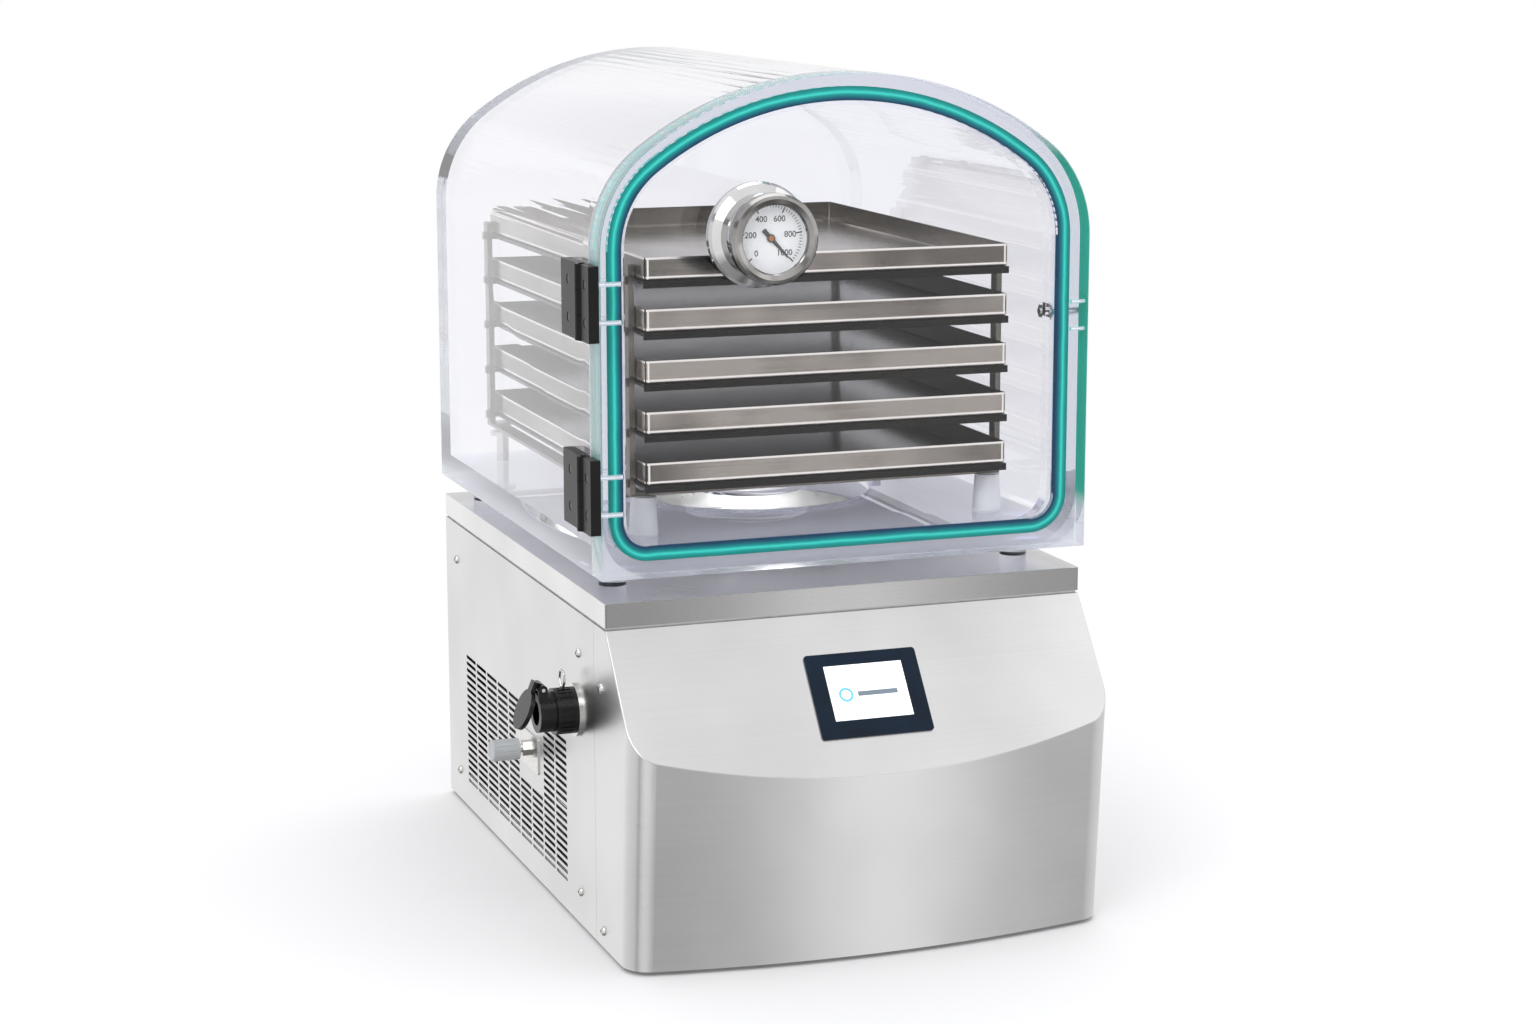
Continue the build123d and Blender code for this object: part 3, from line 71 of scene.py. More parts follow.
# The trays, all alike, at one pitch.
TRAYS = [f"tray_{number}" for number in range(1, 6)]
TRAY_BOXES = sorted((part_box(name) for name in TRAYS), key=lambda box: box[0].z)
TRAY_LOW, TRAY_HIGH = TRAY_BOXES[0]
TRAY_H = TRAY_HIGH.z - TRAY_LOW.z
TRAY_PITCH = TRAY_BOXES[1][0].z - TRAY_LOW.z
# Faces above this height belong to the top tray.
TOP_TRAY_LOW = TRAY_BOXES[-1][0].z - 1 * MM
# How far a tray's lower and side folds lie from its foot and its sides.
TRAY_FOLD = 3.2 * MM

# The screen: the middle of its page, the way up along it, and what the page shows, a ring
# to the left of the middle and a bar to the right.
SCREEN_MIDDLE = place(0, -317.9, 224.95)
SCREEN_UP = (0, 0.614, 0.789)
RING_OUT = 21 * MM
RING_R = 5.5 * MM
BAR_OUT = 8 * MM
BAR_HALF = 18 * MM
BAR_HALF_H = 2.0 * MM

# The gauge's dial. The lengths of its print are in millimetres from its middle, and its
# scale of 0 to 1000 runs clockwise from the lower left, in degrees.
DIAL_MIDDLE = place(-86, -308, 617)
DIAL_STEPS = 50
DIAL_TOP = 1000
DIAL_FROM = 225
DIAL_TURN = 270
STROKES_END = 28.2
LONG_STROKE = {"inner": 23.0, "width": 1.2}
SHORT_STROKE = {"inner": 25.6, "width": 0.6}
STROKES_TO_A_NUMBER = 10
NUMBERS_OUT = 17.6
NUMBER_SIZE = 7.0
# The brass boss over the pointer, and how much broader the pointer is drawn all round.
BOSS_R = 2.4 * MM
BOSS_H = 1.2 * MM
POINTER_BROADER = 0.6 * MM


# ---- small tools ------------------------------------------------------------
def linear(code):
    """A linear colour from an sRGB hex value."""
    values = [int(code[i:i + 2], 16) / 255 for i in (1, 3, 5)]
    return (*[v / 12.92 if v <= 0.04045 else ((v + 0.055) / 1.055) ** 2.4 for v in values], 1.0)


def fill(tree, node, inputs):
    """Links a node's inputs to sockets, or gives them values."""
    for name, value in inputs.items():
        if isinstance(value, bpy.types.NodeSocket):
            tree.links.new(value, node.inputs[name])
        else:
            node.inputs[name].default_value = value


def add(tree, kind, inputs=None, stops=(), **settings):
    """Adds one node with its settings, its inputs, and its (position, colour) stops if it is
    a colour ramp, and gives back its outputs."""
    made = tree.nodes.new("ShaderNode" + kind)
    for name, value in settings.items():
        setattr(made, name, value)
    fill(tree, made, inputs or {})
    if stops:
        elements = made.color_ramp.elements
        while len(elements) < len(stops):
            elements.new(0.5)
        for element, (position, colour) in zip(elements, stops):
            element.position = position
            element.color = colour
    return made.outputs


def opened(material):
    """A material's node tree and its main shader."""
    tree = material.node_tree
    return tree, tree.nodes["Principled BSDF"]


def start(name):
    """A new material with its node tree and its main shader."""
    material = bpy.data.materials.new(name)
    material.use_nodes = True
    return material, *opened(material)


def stretched_noise(tree, scale, detail=3.0):
    """Noise on the object's own coordinates, with a scale for each axis in waves a metre."""
    where = add(tree, "TexCoord")["Object"]
    mapped = add(tree, "Mapping", {"Vector": where, "Scale": scale})["Vector"]
    return add(tree, "TexNoise", {"Vector": mapped, "Scale": 1.0, "Detail": detail})["Fac"]


def own_place(tree):
    """A point's X, Y and Z on the object's own coordinates."""
    return add(tree, "SeparateXYZ", {"Vector": add(tree, "TexCoord")["Object"]})


def span(tree, first, second):
    """The length across two values at right angles."""
    squares = [add(tree, "Math", {0: value, 1: value}, operation="MULTIPLY")["Value"]
               for value in (first, second)]
    both = add(tree, "Math", {0: squares[0], 1: squares[1]}, operation="ADD")["Value"]
    return add(tree, "Math", {0: both}, operation="SQRT")["Value"]


def apart(tree, value, middle):
    """How far a value lies from a middle one, either way."""
    off = add(tree, "Math", {0: value, 1: middle}, operation="SUBTRACT")["Value"]
    return add(tree, "Math", {0: off}, operation="ABSOLUTE")["Value"]


def stripe(tree, value, middle, inner, outer):
    """1 within inner of a middle value, 0 beyond outer, and smooth between."""
    return add(tree, "MapRange", {"Value": apart(tree, value, middle),
                                  "From Min": outer, "From Max": inner},
               interpolation_type="SMOOTHSTEP")["Result"]


def facing(tree, axis, least):
    """1 on faces that look along an axis, one way or the other."""
    surface = add(tree, "NewGeometry")["True Normal"]
    part = add(tree, "SeparateXYZ", {"Vector": surface})[axis]
    size = add(tree, "Math", {0: part}, operation="ABSOLUTE")["Value"]
    return add(tree, "MapRange", {"Value": size, "From Min": least, "From Max": least + 0.1},
               interpolation_type="SMOOTHSTEP")["Result"]


def outline_depth(tree):
    """How far a point lies inside the arched outline of the chamber and the door, measured
    across its front, with the gasket's rounding at the two lower corners."""
    where = add(tree, "TexCoord")["Object"]
    centred = add(tree, "VectorMath", {0: where, 1: SPRING}, operation="SUBTRACT")["Vector"]
    parts = add(tree, "SeparateXYZ", {"Vector": centred})
    across = add(tree, "Math", {0: parts["X"]}, operation="ABSOLUTE")["Value"]
    out = add(tree, "Math", {0: across, 1: SHOULDER_OUT}, operation="SUBTRACT")["Value"]
    # Below and beside the shoulder's centre only one of the two lengths counts.
    beyond = add(tree, "Math", {0: out, 1: 0.0}, operation="MAXIMUM")["Value"]
    short = add(tree, "Math", {0: out, 1: 0.0}, operation="MINIMUM")["Value"]
    raised = add(tree, "Math", {0: parts["Z"], 1: 0.0}, operation="MAXIMUM")["Value"]
    shoulder = add(tree, "Math", {0: span(tree, beyond, raised), 1: short},
                   operation="ADD")["Value"]
    from_side = add(tree, "Math", {0: SHOULDER_R, 1: shoulder}, operation="SUBTRACT")["Value"]
    # The crown's arc takes over above the line from its centre through the shoulder's.
    crown_up = add(tree, "Math", {0: parts["Z"], 1: CROWN_DROP}, operation="ADD")["Value"]
    from_crown = add(tree, "Math", {0: CROWN_R, 1: span(tree, across, crown_up)},
                     operation="SUBTRACT")["Value"]
    slope = add(tree, "Math", {0: parts["Z"], 1: SHOULDER_OUT / CROWN_DROP},
                operation="MULTIPLY")["Value"]
    over = add(tree, "Math", {0: slope, 1: out}, operation="GREATER_THAN")["Value"]
    arch = add(tree, "Mix", {"Factor": over, "A": from_side, "B": from_crown},
               data_type="FLOAT")["Result"]
    # The two lower corners.
    from_low = add(tree, "Math", {0: parts["Z"], 1: SPRING.z - SHARED_LOW},
                   operation="ADD")["Value"]
    left = [add(tree, "Math", {0: GASKET_CORNER, 1: depth}, operation="SUBTRACT")["Value"]
            for depth in (arch, from_low)]
    beside, below = [add(tree, "Math", {0: value, 1: 0.0}, operation="MAXIMUM")["Value"]
                     for value in left]
    return add(tree, "Math", {0: GASKET_CORNER, 1: span(tree, beside, below)},
               operation="SUBTRACT")["Value"]


# ---- materials --------------------------------------------------------------
def brushed_steel(name, dark, light, rough, lines, grain, bump, patches=(7, 7, 7),
                  band=(0.35, 0.65)):
    """Stainless steel rubbed along one direction: fine parallel lines that spread its
    highlights across them. lines and patches are noise scales for each axis in waves a
    metre; band holds the noise values at which the tone is darkest and lightest."""
    material, tree, shader = start(name)
    strokes = stretched_noise(tree, lines, detail=4.0)
    clouds = stretched_noise(tree, patches, detail=2.0)
    blend = add(tree, "Mix", {"Factor": grain, "A": clouds, "B": strokes}, data_type="FLOAT")
    tone = add(tree, "ValToRGB", {"Fac": blend["Result"]},
               stops=[(band[0], linear(dark)), (band[1], linear(light))])
    gloss = add(tree, "MapRange", {"Value": strokes, "To Min": rough - 0.05,
                                   "To Max": rough + 0.07})
    relief = add(tree, "Bump", {"Height": strokes, "Strength": bump, "Distance": 0.3 * MM})
    # The lines run level. The slight tilt gives level faces a direction too.
    normal = add(tree, "NewGeometry")["Normal"]
    along = add(tree, "VectorMath", {0: normal, 1: (0, -0.05, 1)}, operation="CROSS_PRODUCT")
    fill(tree, shader, {"Base Color": tone["Color"], "Roughness": gloss["Result"],
                        "Normal": relief["Normal"], "Tangent": along["Vector"],
                        "Metallic": 1.0, "Anisotropic": 0.6, "Anisotropic Rotation": 0.25})
    return material


def trim_trays(material):
    """Painted light and shade on the trays, because their folds are too fine to catch the light
    here:
    a painted highlight on the rim and the folds, painted shade along the foot, and painted
    shade inside the trays below the top tray."""
    tree, shader = opened(material)
    at = own_place(tree)
    above = add(tree, "Math", {0: at["Z"], 1: TRAY_LOW.z}, operation="SUBTRACT")["Value"]
    height = add(tree, "Math", {0: above, 1: TRAY_PITCH}, operation="MODULO")["Value"]
    across = apart(tree, at["X"], (TRAY_LOW.x + TRAY_HIGH.x) / 2)
    inset = add(tree, "Math", {0: (TRAY_HIGH.x - TRAY_LOW.x) / 2, 1: across},
                operation="SUBTRACT")["Value"]
    # A face further in than this is on the inside of the tray's walls, 1.2 mm thick.
    in_side = add(tree, "Math", {0: inset, 1: 0.4 * MM}, operation="GREATER_THAN")["Value"]
    in_front = add(tree, "Math", {0: at["Y"], 1: TRAY_LOW.y + 0.6 * MM},
                   operation="GREATER_THAN")["Value"]
    inner = add(tree, "Math", {0: in_side, 1: in_front}, operation="MULTIPLY")["Value"]
    outer = add(tree, "Math", {0: 1.0, 1: inner}, operation="SUBTRACT")["Value"]
    lower = add(tree, "Math", {0: at["Z"], 1: TOP_TRAY_LOW}, operation="LESS_THAN")["Value"]
    painted_shade_inside = add(tree, "Math", {0: inner, 1: lower}, operation="MULTIPLY")["Value"]
    rim = add(tree, "MapRange", {"Value": height, "From Min": TRAY_H - 2.2 * MM,
                                 "From Max": TRAY_H - 1.4 * MM},
              interpolation_type="SMOOTHSTEP")["Result"]
    fold = stripe(tree, height, TRAY_FOLD, 0.5 * MM, 1.2 * MM)
    side = stripe(tree, inset, TRAY_FOLD, 0.5 * MM, 1.2 * MM)
    level = add(tree, "Math", {0: rim, 1: fold}, operation="MAXIMUM")["Value"]
    bright = add(tree, "Math", {0: level, 1: side}, operation="MAXIMUM")["Value"]
    painted_highlight = add(tree, "Math", {0: bright, 1: outer}, operation="MULTIPLY")["Value"]
    near_foot = add(tree, "MapRange", {"Value": height, "From Min": 1.9 * MM,
                                       "From Max": 1.3 * MM},
                    interpolation_type="SMOOTHSTEP")["Result"]
    painted_shade_foot = add(tree, "Math", {0: near_foot, 1: outer}, operation="MULTIPLY")["Value"]
    tone = shader.inputs["Base Color"].links[0].from_socket
    # Painted shade inside the lower trays, a painted highlight on rims and folds, painted shade
    # along the foot.
    for share, colour in ((painted_shade_inside, "#2c2926"), (painted_highlight, "#f6f1e9"), (painted_shade_foot, "#141210")):
        tone = add(tree, "Mix", {"Factor": share, "A": tone, "B": linear(colour)},
                   data_type="RGBA")["Result"]
    fill(tree, shader, {"Base Color": tone})


def shade_front(material):
    """Darkens the lid's front edge towards its two ends. This shade is drawn and doesn't
    come from the lamps."""
    tree, shader = opened(material)
    off = apart(tree, own_place(tree)["X"], MIDDLE.x + 5 * MM)
    far = add(tree, "MapRange", {"Value": off, "From Min": 0.0, "From Max": 200 * MM},
              interpolation_type="SMOOTHSTEP")["Result"]
    dim = add(tree, "MapRange", {"Value": far, "To Min": 0.42, "To Max": 0.70})["Result"]
    share = add(tree, "Math", {0: dim, 1: facing(tree, "Y", 0.7)}, operation="MULTIPLY")["Value"]
    tone = shader.inputs["Base Color"].links[0].from_socket
    shaded = add(tree, "Mix", {"Factor": share, "A": tone, "B": linear("#2a2a2a")},
                 data_type="RGBA")["Result"]
    fill(tree, shader, {"Base Color": shaded})


def smooth_metal(name, dark, light, rough, scale, bump=0.0):
    """Metal with a faint cloudy tone: polished, plated or drawn."""
    material, tree, shader = start(name)
    clouds = stretched_noise(tree, (scale, scale, scale), detail=4.0)
    tone = add(tree, "ValToRGB", {"Fac": clouds}, stops=[(0.3, linear(dark)), (0.7, linear(light))])
    gloss = add(tree, "MapRange", {"Value": clouds, "To Min": rough * 0.7, "To Max": rough * 1.3})
    fill(tree, shader, {"Base Color": tone["Color"], "Roughness": gloss["Result"],
                        "Metallic": 1.0})
    if bump:
        relief = add(tree, "Bump", {"Height": clouds, "Strength": bump, "Distance": 0.3 * MM})
        fill(tree, shader, {"Normal": relief["Normal"]})
    return material


def moulded(name, dark, light, rough, grain_mm, bump, coat=0.0, soft=0.0, sheen_level=0.5):
    """Plastic, rubber or enamel: an even colour and gloss with a fine grain."""
    material, tree, shader = start(name)
    waves = 1 / (grain_mm * MM)
    grain = stretched_noise(tree, (waves, waves, waves), detail=2.0)
    clouds = stretched_noise(tree, (25, 25, 25), detail=2.0)
    tone = add(tree, "ValToRGB", {"Fac": clouds}, stops=[(0.3, linear(dark)), (0.7, linear(light))])
    gloss = add(tree, "MapRange", {"Value": grain, "To Min": rough - 0.06, "To Max": rough + 0.08})
    relief = add(tree, "Bump", {"Height": grain, "Strength": bump, "Distance": 0.2 * MM})
    fill(tree, shader, {"Base Color": tone["Color"], "Roughness": gloss["Result"],
                        "Normal": relief["Normal"], "Coat Weight": coat,
                        "Specular IOR Level": sheen_level, "Subsurface Weight": soft,
                        "Subsurface Radius": (4 * MM, 4 * MM, 4 * MM)})
    return material


def gasket_silicone():
    """Moulded silicone cord in its groove, with a painted highlight along its crown, painted shade
    in deep blue-green towards its inner edge, and a painted glow all over."""
    material = moulded("silicone_gasket_teal", "#0c9c84", "#12b294", 0.34, 0.6, 0.04, coat=0.2)
    tree, shader = opened(material)
    depth = add(tree, "Math", {0: outline_depth(tree), 1: GASKET_INSET},
                operation="SUBTRACT")["Value"]
    part = add(tree, "Math", {0: depth, 1: GASKET_W}, operation="DIVIDE")["Value"]
    uneven = add(tree, "MapRange", {"Value": stretched_noise(tree, (30, 30, 30)),
                                    "To Min": -0.08, "To Max": 0.08})["Result"]
    share = add(tree, "Math", {0: part, 1: uneven}, operation="ADD")["Value"]
    # The ramp paints a highlight along the crown and shade at the inner edge; the emission is a
    # painted glow.
    tone = add(tree, "ValToRGB", {"Fac": share}, stops=[
        (0.0, linear("#0aa19b")), (0.22, linear("#13b9b2")), (0.42, linear("#59e8de")),
        (0.6, linear("#14b2ae")), (0.78, linear("#0c8698")), (0.92, linear("#13587c"))])["Color"]
    fill(tree, shader, {"Base Color": tone, "Emission Color": tone, "Emission Strength": 0.28})
    return material


# The tint of clear acrylic's faces.
CLEAR = "#fafafd"


def clear_plastic(name, tint, deep, density, ior=1.49):
    """Acrylic, glass or silicone with clear faces: nearly colourless through its thickness,
    with the deep colour along its edges, where the light has a long way through it."""
    material, tree, shader = start(name)
    haze = stretched_noise(tree, (9, 9, 9), detail=2.0)
    gloss = add(tree, "MapRange", {"Value": haze, "To Min": 0.0, "To Max": 0.02})["Result"]
    fill(tree, shader, {"Roughness": gloss, "Base Color": linear(tint),
                        "Transmission Weight": 1.0, "IOR": ior})
    shadow = add(tree, "LightPath")["Is Shadow Ray"]
    clear = add(tree, "BsdfTransparent", {"Color": linear(tint)})["BSDF"]
    skin = add(tree, "MixShader", {0: shadow, 1: shader.outputs["BSDF"], 2: clear})["Shader"]
    inside = add(tree, "VolumeAbsorption", {"Color": linear(deep), "Density": density})["Volume"]
    fill(tree, tree.nodes["Material Output"], {"Surface": skin, "Volume": inside})
    return material


def coat_faces(material, share, colour, most, painted_glow):
    """Covers part of clear acrylic's surface with a colour that lets less light through, and gives
    it a painted glow."""
    tree, shader = opened(material)
    base = add(tree, "Mix", {"Factor": share, "A": linear(CLEAR), "B": colour},
               data_type="RGBA")["Result"]
    covered = add(tree, "Math", {0: share, 1: most}, operation="MULTIPLY")["Value"]
    left = add(tree, "Math", {0: 1.0, 1: covered}, operation="SUBTRACT")["Value"]
    painted_glow_strength = add(tree, "Math", {0: share, 1: painted_glow}, operation="MULTIPLY")["Value"]
    polish = shader.inputs["Roughness"].links[0].from_socket
    satin = add(tree, "Math", {0: share, 1: 0.9}, operation="MULTIPLY")["Value"]
    rough = add(tree, "Math", {0: polish, 1: satin}, operation="MAXIMUM")["Value"]
    fill(tree, shader, {"Base Color": base, "Transmission Weight": left, "Roughness": rough,
                        "Emission Color": base, "Emission Strength": painted_glow_strength})


def chamber_acrylic():
    """The chamber's clear acrylic. Its underside is left satin from sawing and carries a painted
    glow, so it lights the walls from below."""
    material = clear_plastic("acrylic_cast_polished", CLEAR, "#c6ccda", 1.3)
    tree = material.node_tree
    under = add(tree, "Math", {0: own_place(tree)["Z"], 1: SHARED_LOW + 1 * MM},
                operation="LESS_THAN")["Value"]
    sawn_satin_and_painted_glow = add(tree, "Math", {0: under, 1: facing(tree, "Z", 0.85)},
               operation="MULTIPLY")["Value"]
    # The sawn underside is satin white with a painted glow.
    coat_faces(material, sawn_satin_and_painted_glow, linear("#f2f3fa"), 0.6, 0.12)
    return material


def door_rim_acrylic():
    """The door's clear acrylic. Its rim is left satin with a faint painted glow, and the rim's
    free side carries a painted reflection of the gasket all along inside it: its colour with a
    painted glow. All of this goes by place, so that it stays as the door turns."""
    material = clear_plastic("acrylic_door_polished", CLEAR, "#c6ccda", 1.3)
    tree, shader = opened(material)
    at = own_place(tree)
    rim = add(tree, "Math", {0: outline_depth(tree), 1: RIM_SKIN},
              operation="LESS_THAN")["Value"]
    out = add(tree, "Math", {0: at["X"], 1: SPRING.x}, operation="SUBTRACT")["Value"]
    free_side = add(tree, "MapRange", {"Value": out, "From Min": SHOULDER_OUT + 0.4 * SHOULDER_R,
                                       "From Max": SHOULDER_OUT + 0.8 * SHOULDER_R},
                    interpolation_type="SMOOTHSTEP")["Result"]
    above = add(tree, "MapRange", {"Value": at["Z"], "From Min": SHARED_LOW + 20 * MM,
                                   "From Max": SHARED_LOW + 50 * MM},
                interpolation_type="SMOOTHSTEP")["Result"]
    upper = add(tree, "Math", {0: free_side, 1: above}, operation="MULTIPLY")["Value"]
    painted_gasket_reflection = add(tree, "Math", {0: rim, 1: upper}, operation="MULTIPLY")["Value"]
    rest = add(tree, "Math", {0: rim, 1: painted_gasket_reflection}, operation="SUBTRACT")["Value"]
    pale = add(tree, "Math", {0: rest, 1: 0.3}, operation="MULTIPLY")["Value"]
    # The free side's teal is a painted reflection of the gasket; the rim's glow is painted light.
    hue = add(tree, "Mix", {"Factor": painted_gasket_reflection, "A": linear("#d5dae3"), "B": linear("#00a08a")},
              data_type="RGBA")["Result"]
    bright = add(tree, "Math", {0: painted_gasket_reflection, 1: 0.2}, operation="MULTIPLY")["Value"]
    painted_glow = add(tree, "Math", {0: bright, 1: 0.06}, operation="ADD")["Value"]
    share = add(tree, "Math", {0: painted_gasket_reflection, 1: pale}, operation="ADD")["Value"]
    coat_faces(material, share, hue, 0.88, painted_glow)
    # It mirrors less than plain acrylic does, so that the trays show clearly through it.
    fill(tree, shader, {"Specular Tint": (0.4, 0.4, 0.4, 1)})
    return material


def lit_screen():
    """A switched-on display under its glass: a white start page with a pale blue ring and
    a grey bar beside it. Across and up are measured from the middle of the screen."""
    material, tree, shader = start("display_lit_white")
    where = add(tree, "TexCoord")["Object"]
    middle = add(tree, "VectorMath", {0: where, 1: SCREEN_MIDDLE}, operation="SUBTRACT")["Vector"]
    across = add(tree, "SeparateXYZ", {"Vector": middle})["X"]
    up = add(tree, "VectorMath", {0: middle, 1: SCREEN_UP}, operation="DOT_PRODUCT")["Value"]
    beside = add(tree, "Math", {0: across, 1: RING_OUT}, operation="ADD")["Value"]
    ring = stripe(tree, span(tree, beside, up), RING_R, 0.9 * MM, 1.4 * MM)
    bar = add(tree, "Math", {0: stripe(tree, across, BAR_OUT, BAR_HALF, BAR_HALF + 0.6 * MM),
                             1: stripe(tree, up, 0.0, BAR_HALF_H, BAR_HALF_H + 0.5 * MM)},
              operation="MULTIPLY")["Value"]
    drift = stretched_noise(tree, (12, 12, 12), detail=1.0)
    page = add(tree, "ValToRGB", {"Fac": drift},
               stops=[(0.3, linear("#eff4f7")), (0.7, linear("#fafcfd"))])["Color"]
    for share, colour in ((ring, "#5fb0dc"), (bar, "#66717d")):
        page = add(tree, "Mix", {"Factor": share, "A": page, "B": linear(colour)},
                   data_type="RGBA")["Result"]
    fill(tree, shader, {"Base Color": page, "Emission Color": page, "Emission Strength": 0.55,
                        "Roughness": 0.12})
    return material


def hinge_screw_steel():
    """Countersunk screws: blackened heads outside, bright shanks with a painted glow in the clear
    walls.
    """
    material = smooth_metal("steel_screw_blackened", "#e9e9ec", "#f6f6f8", 0.30, 400)
    tree, shader = opened(material)
    side = SPRING.x - SHARED_HALF
    inner = add(tree, "MapRange", {"Value": own_place(tree)["X"], "From Min": side,
                                   "From Max": side + 1 * MM},
                interpolation_type="SMOOTHSTEP")["Result"]
    tone = add(tree, "Mix", {"Factor": inner, "A": linear("#1b1b1c"), "B": linear("#f4f4f7")},
               data_type="RGBA")["Result"]
    # The shanks' glow is painted light.
    painted_glow = add(tree, "Math", {0: inner, 1: 0.25}, operation="MULTIPLY")["Value"]
    fill(tree, shader, {"Base Color": tone, "Emission Color": tone, "Emission Strength": painted_glow})
    return material


# The cabinet's cover and sides: 1.5 mm stainless sheet with a fine rubbed finish, whose
# lines run level. They are drawn about 1 mm apart, coarser than real, so that they show.
sheet_steel = brushed_steel("stainless_sheet_rubbed", "#c7c6c6", "#d3d2d2", 0.30, (3, 3, 900),
                            grain=0.25, bump=0.008)
lid_steel = brushed_steel("stainless_lid_rubbed", "#cfcece", "#dcdbdb", 0.26, (3, 3, 1100),
                          grain=0.25, bump=0.008)
shade_front(lid_steel)
# Trays, shelves and rack: satin stainless, warmer and darker, with long lines, which are
# drawn coarser than real too. The shelves are drawn nearly black, darker than real, as
# painted shade between the trays.
tray_steel = brushed_steel("stainless_tray_satin", "#6a655e", "#a69f96", 0.16, (3, 3, 800),
                           grain=0.15, bump=0.01, patches=(8, 3, 12), band=(0.4, 0.6))
# The trays get painted highlights and painted shade.
trim_trays(tray_steel)
shelf_steel_painted_shade = brushed_steel("stainless_shelf_satin", "#181614", "#24211e", 0.30, (3, 3, 800),
                            grain=0.3, bump=0.01)
rack_steel = brushed_steel("stainless_rack_satin", "#67625c", "#7f7972", 0.22, (3, 3, 800),
                           grain=0.3, bump=0.01)
# Deep-drawn stainless of the condenser's vessel and the pipes: a soft, even sheen.
vessel_steel = smooth_metal("stainless_vessel_drawn", "#cfcfce", "#e0e0df", 0.30, 30)
# Zinc-plated steel of the frame and the control box: dull grey, faintly clouded.
zinc_steel = smooth_metal("zinc_plated_strip", "#a7a9aa", "#c3c5c5", 0.38, 90, 0.05)
box_zinc = smooth_metal("zinc_plated_box", "#b1b3b4", "#c9cbcb", 0.42, 60, 0.04)
# Turned stainless of the screws and fittings: bright, with small soft highlights.
fastener_steel = smooth_metal("stainless_fastener_turned", "#c2c1be", "#dcdbd8", 0.20, 400)
screw_steel = hinge_screw_steel()
# The gauge's polished case mirrors the room nearly whole; its turned bezel is darker and
# blurs it more.
polished_steel = smooth_metal("stainless_gauge_polished", "#c4c4c4", "#d6d6d6", 0.05, 20)
bezel_steel = smooth_metal("stainless_bezel_turned", "#8d8b89", "#a3a19f", 0.14, 40)
# Turned brass of the pointer's boss: a warm brown with a soft highlight.
brass = smooth_metal("brass_boss_turned", "#a8622a", "#c27a3a", 0.25, 200)
# Drawn copper round the vessel: warm and a little uneven.
copper = smooth_metal("copper_sheet_drawn", "#b5724f", "#cf8a64", 0.28, 80, 0.03)
# Rolled aluminium of the coil's fins: pale satin.
fin_aluminium = smooth_metal("aluminium_fins_rolled", "#b9bbbd", "#d3d5d6", 0.33, 120)
# Cast acrylic: clear, and pale lavender along its edges.
acrylic = chamber_acrylic()
door_acrylic = door_rim_acrylic()
# The gauge's window glass: no tint, and a trace of green in its depth.
gauge_glass = clear_plastic("gauge_window_glass", "#fdfdfd", "#eef4f2", 1.0, ior=1.52)
# Clear silicone pads: pale, and duller in their depth than acrylic.
clear_rubber = clear_plastic("silicone_pad_clear", "#f0f1f4", "#dfe2ee", 6.0, ior=1.41)
teal_silicone = gasket_silicone()
# Moulded rubber feet: matt black.
black_rubber = moulded("rubber_foot_black", "#141414", "#1d1d1d", 0.62, 0.4, 0.12)
# Moulded nylon hinges: deep black with a fine grain and little shine.
black_nylon = moulded("nylon_hinge_black", "#0a0a0b", "#121213", 0.34, 0.5, 0.10,
                      sheen_level=0.18)
# Moulded plastic fittings and fans: black, smooth and half gloss.
black_plastic = moulded("plastic_fitting_black", "#0c0c0e", "#151517", 0.26, 0.7, 0.04,
                        sheen_level=0.3)
# Moulded plastic drain knob: mid grey satin.
grey_plastic = moulded("plastic_knob_grey", "#a3a6a8", "#b5b8ba", 0.42, 0.5, 0.08)
# Turned fluoropolymer feet of the rack: white and waxy, as light passes a little way in.
white_ptfe = moulded("fluoropolymer_foot_turned", "#ececec", "#f6f6f5", 0.40, 0.8, 0.05,
                     soft=0.3)
# The screen's smooth front: dark blue, with weak reflections.
screen_frame = moulded("screen_front_dark", "#0a1826", "#0e2032", 0.22, 1.2, 0.01,
                       sheen_level=0.15)
screen_face = lit_screen()
# Silicone heater mats: near black and matt.
heater_mat = moulded("silicone_heater_black", "#141210", "#1e1b18", 0.55, 0.6, 0.12)
# Closed-cell foam: cream and dull, with a rough skin.
foam = moulded("foam_closed_cell", "#d3c9aa", "#e2d9bc", 0.85, 1.5, 0.6)
# The compressor's enamel: black under a clear gloss.
compressor_enamel = moulded("enamel_compressor_black", "#101010", "#1a1a1a", 0.30, 1.5, 0.05,
                            coat=0.3)
# The dial's enamel: smooth and near white. The little light it gives off is drawn, so that
# it looks white in its case.
dial_enamel = moulded("enamel_dial_white", "#f6f6f8", "#fdfdfe", 0.45, 1.0, 0.01)
fill(*opened(dial_enamel), {"Emission Color": linear("#e8f0ff"), "Emission Strength": 0.12})
# Ink of the dial's print, worn by the pointer too: black and matt.
ink_black = moulded("ink_dial_black", "#0e0e10", "#17171a", 0.5, 0.5, 0.01)

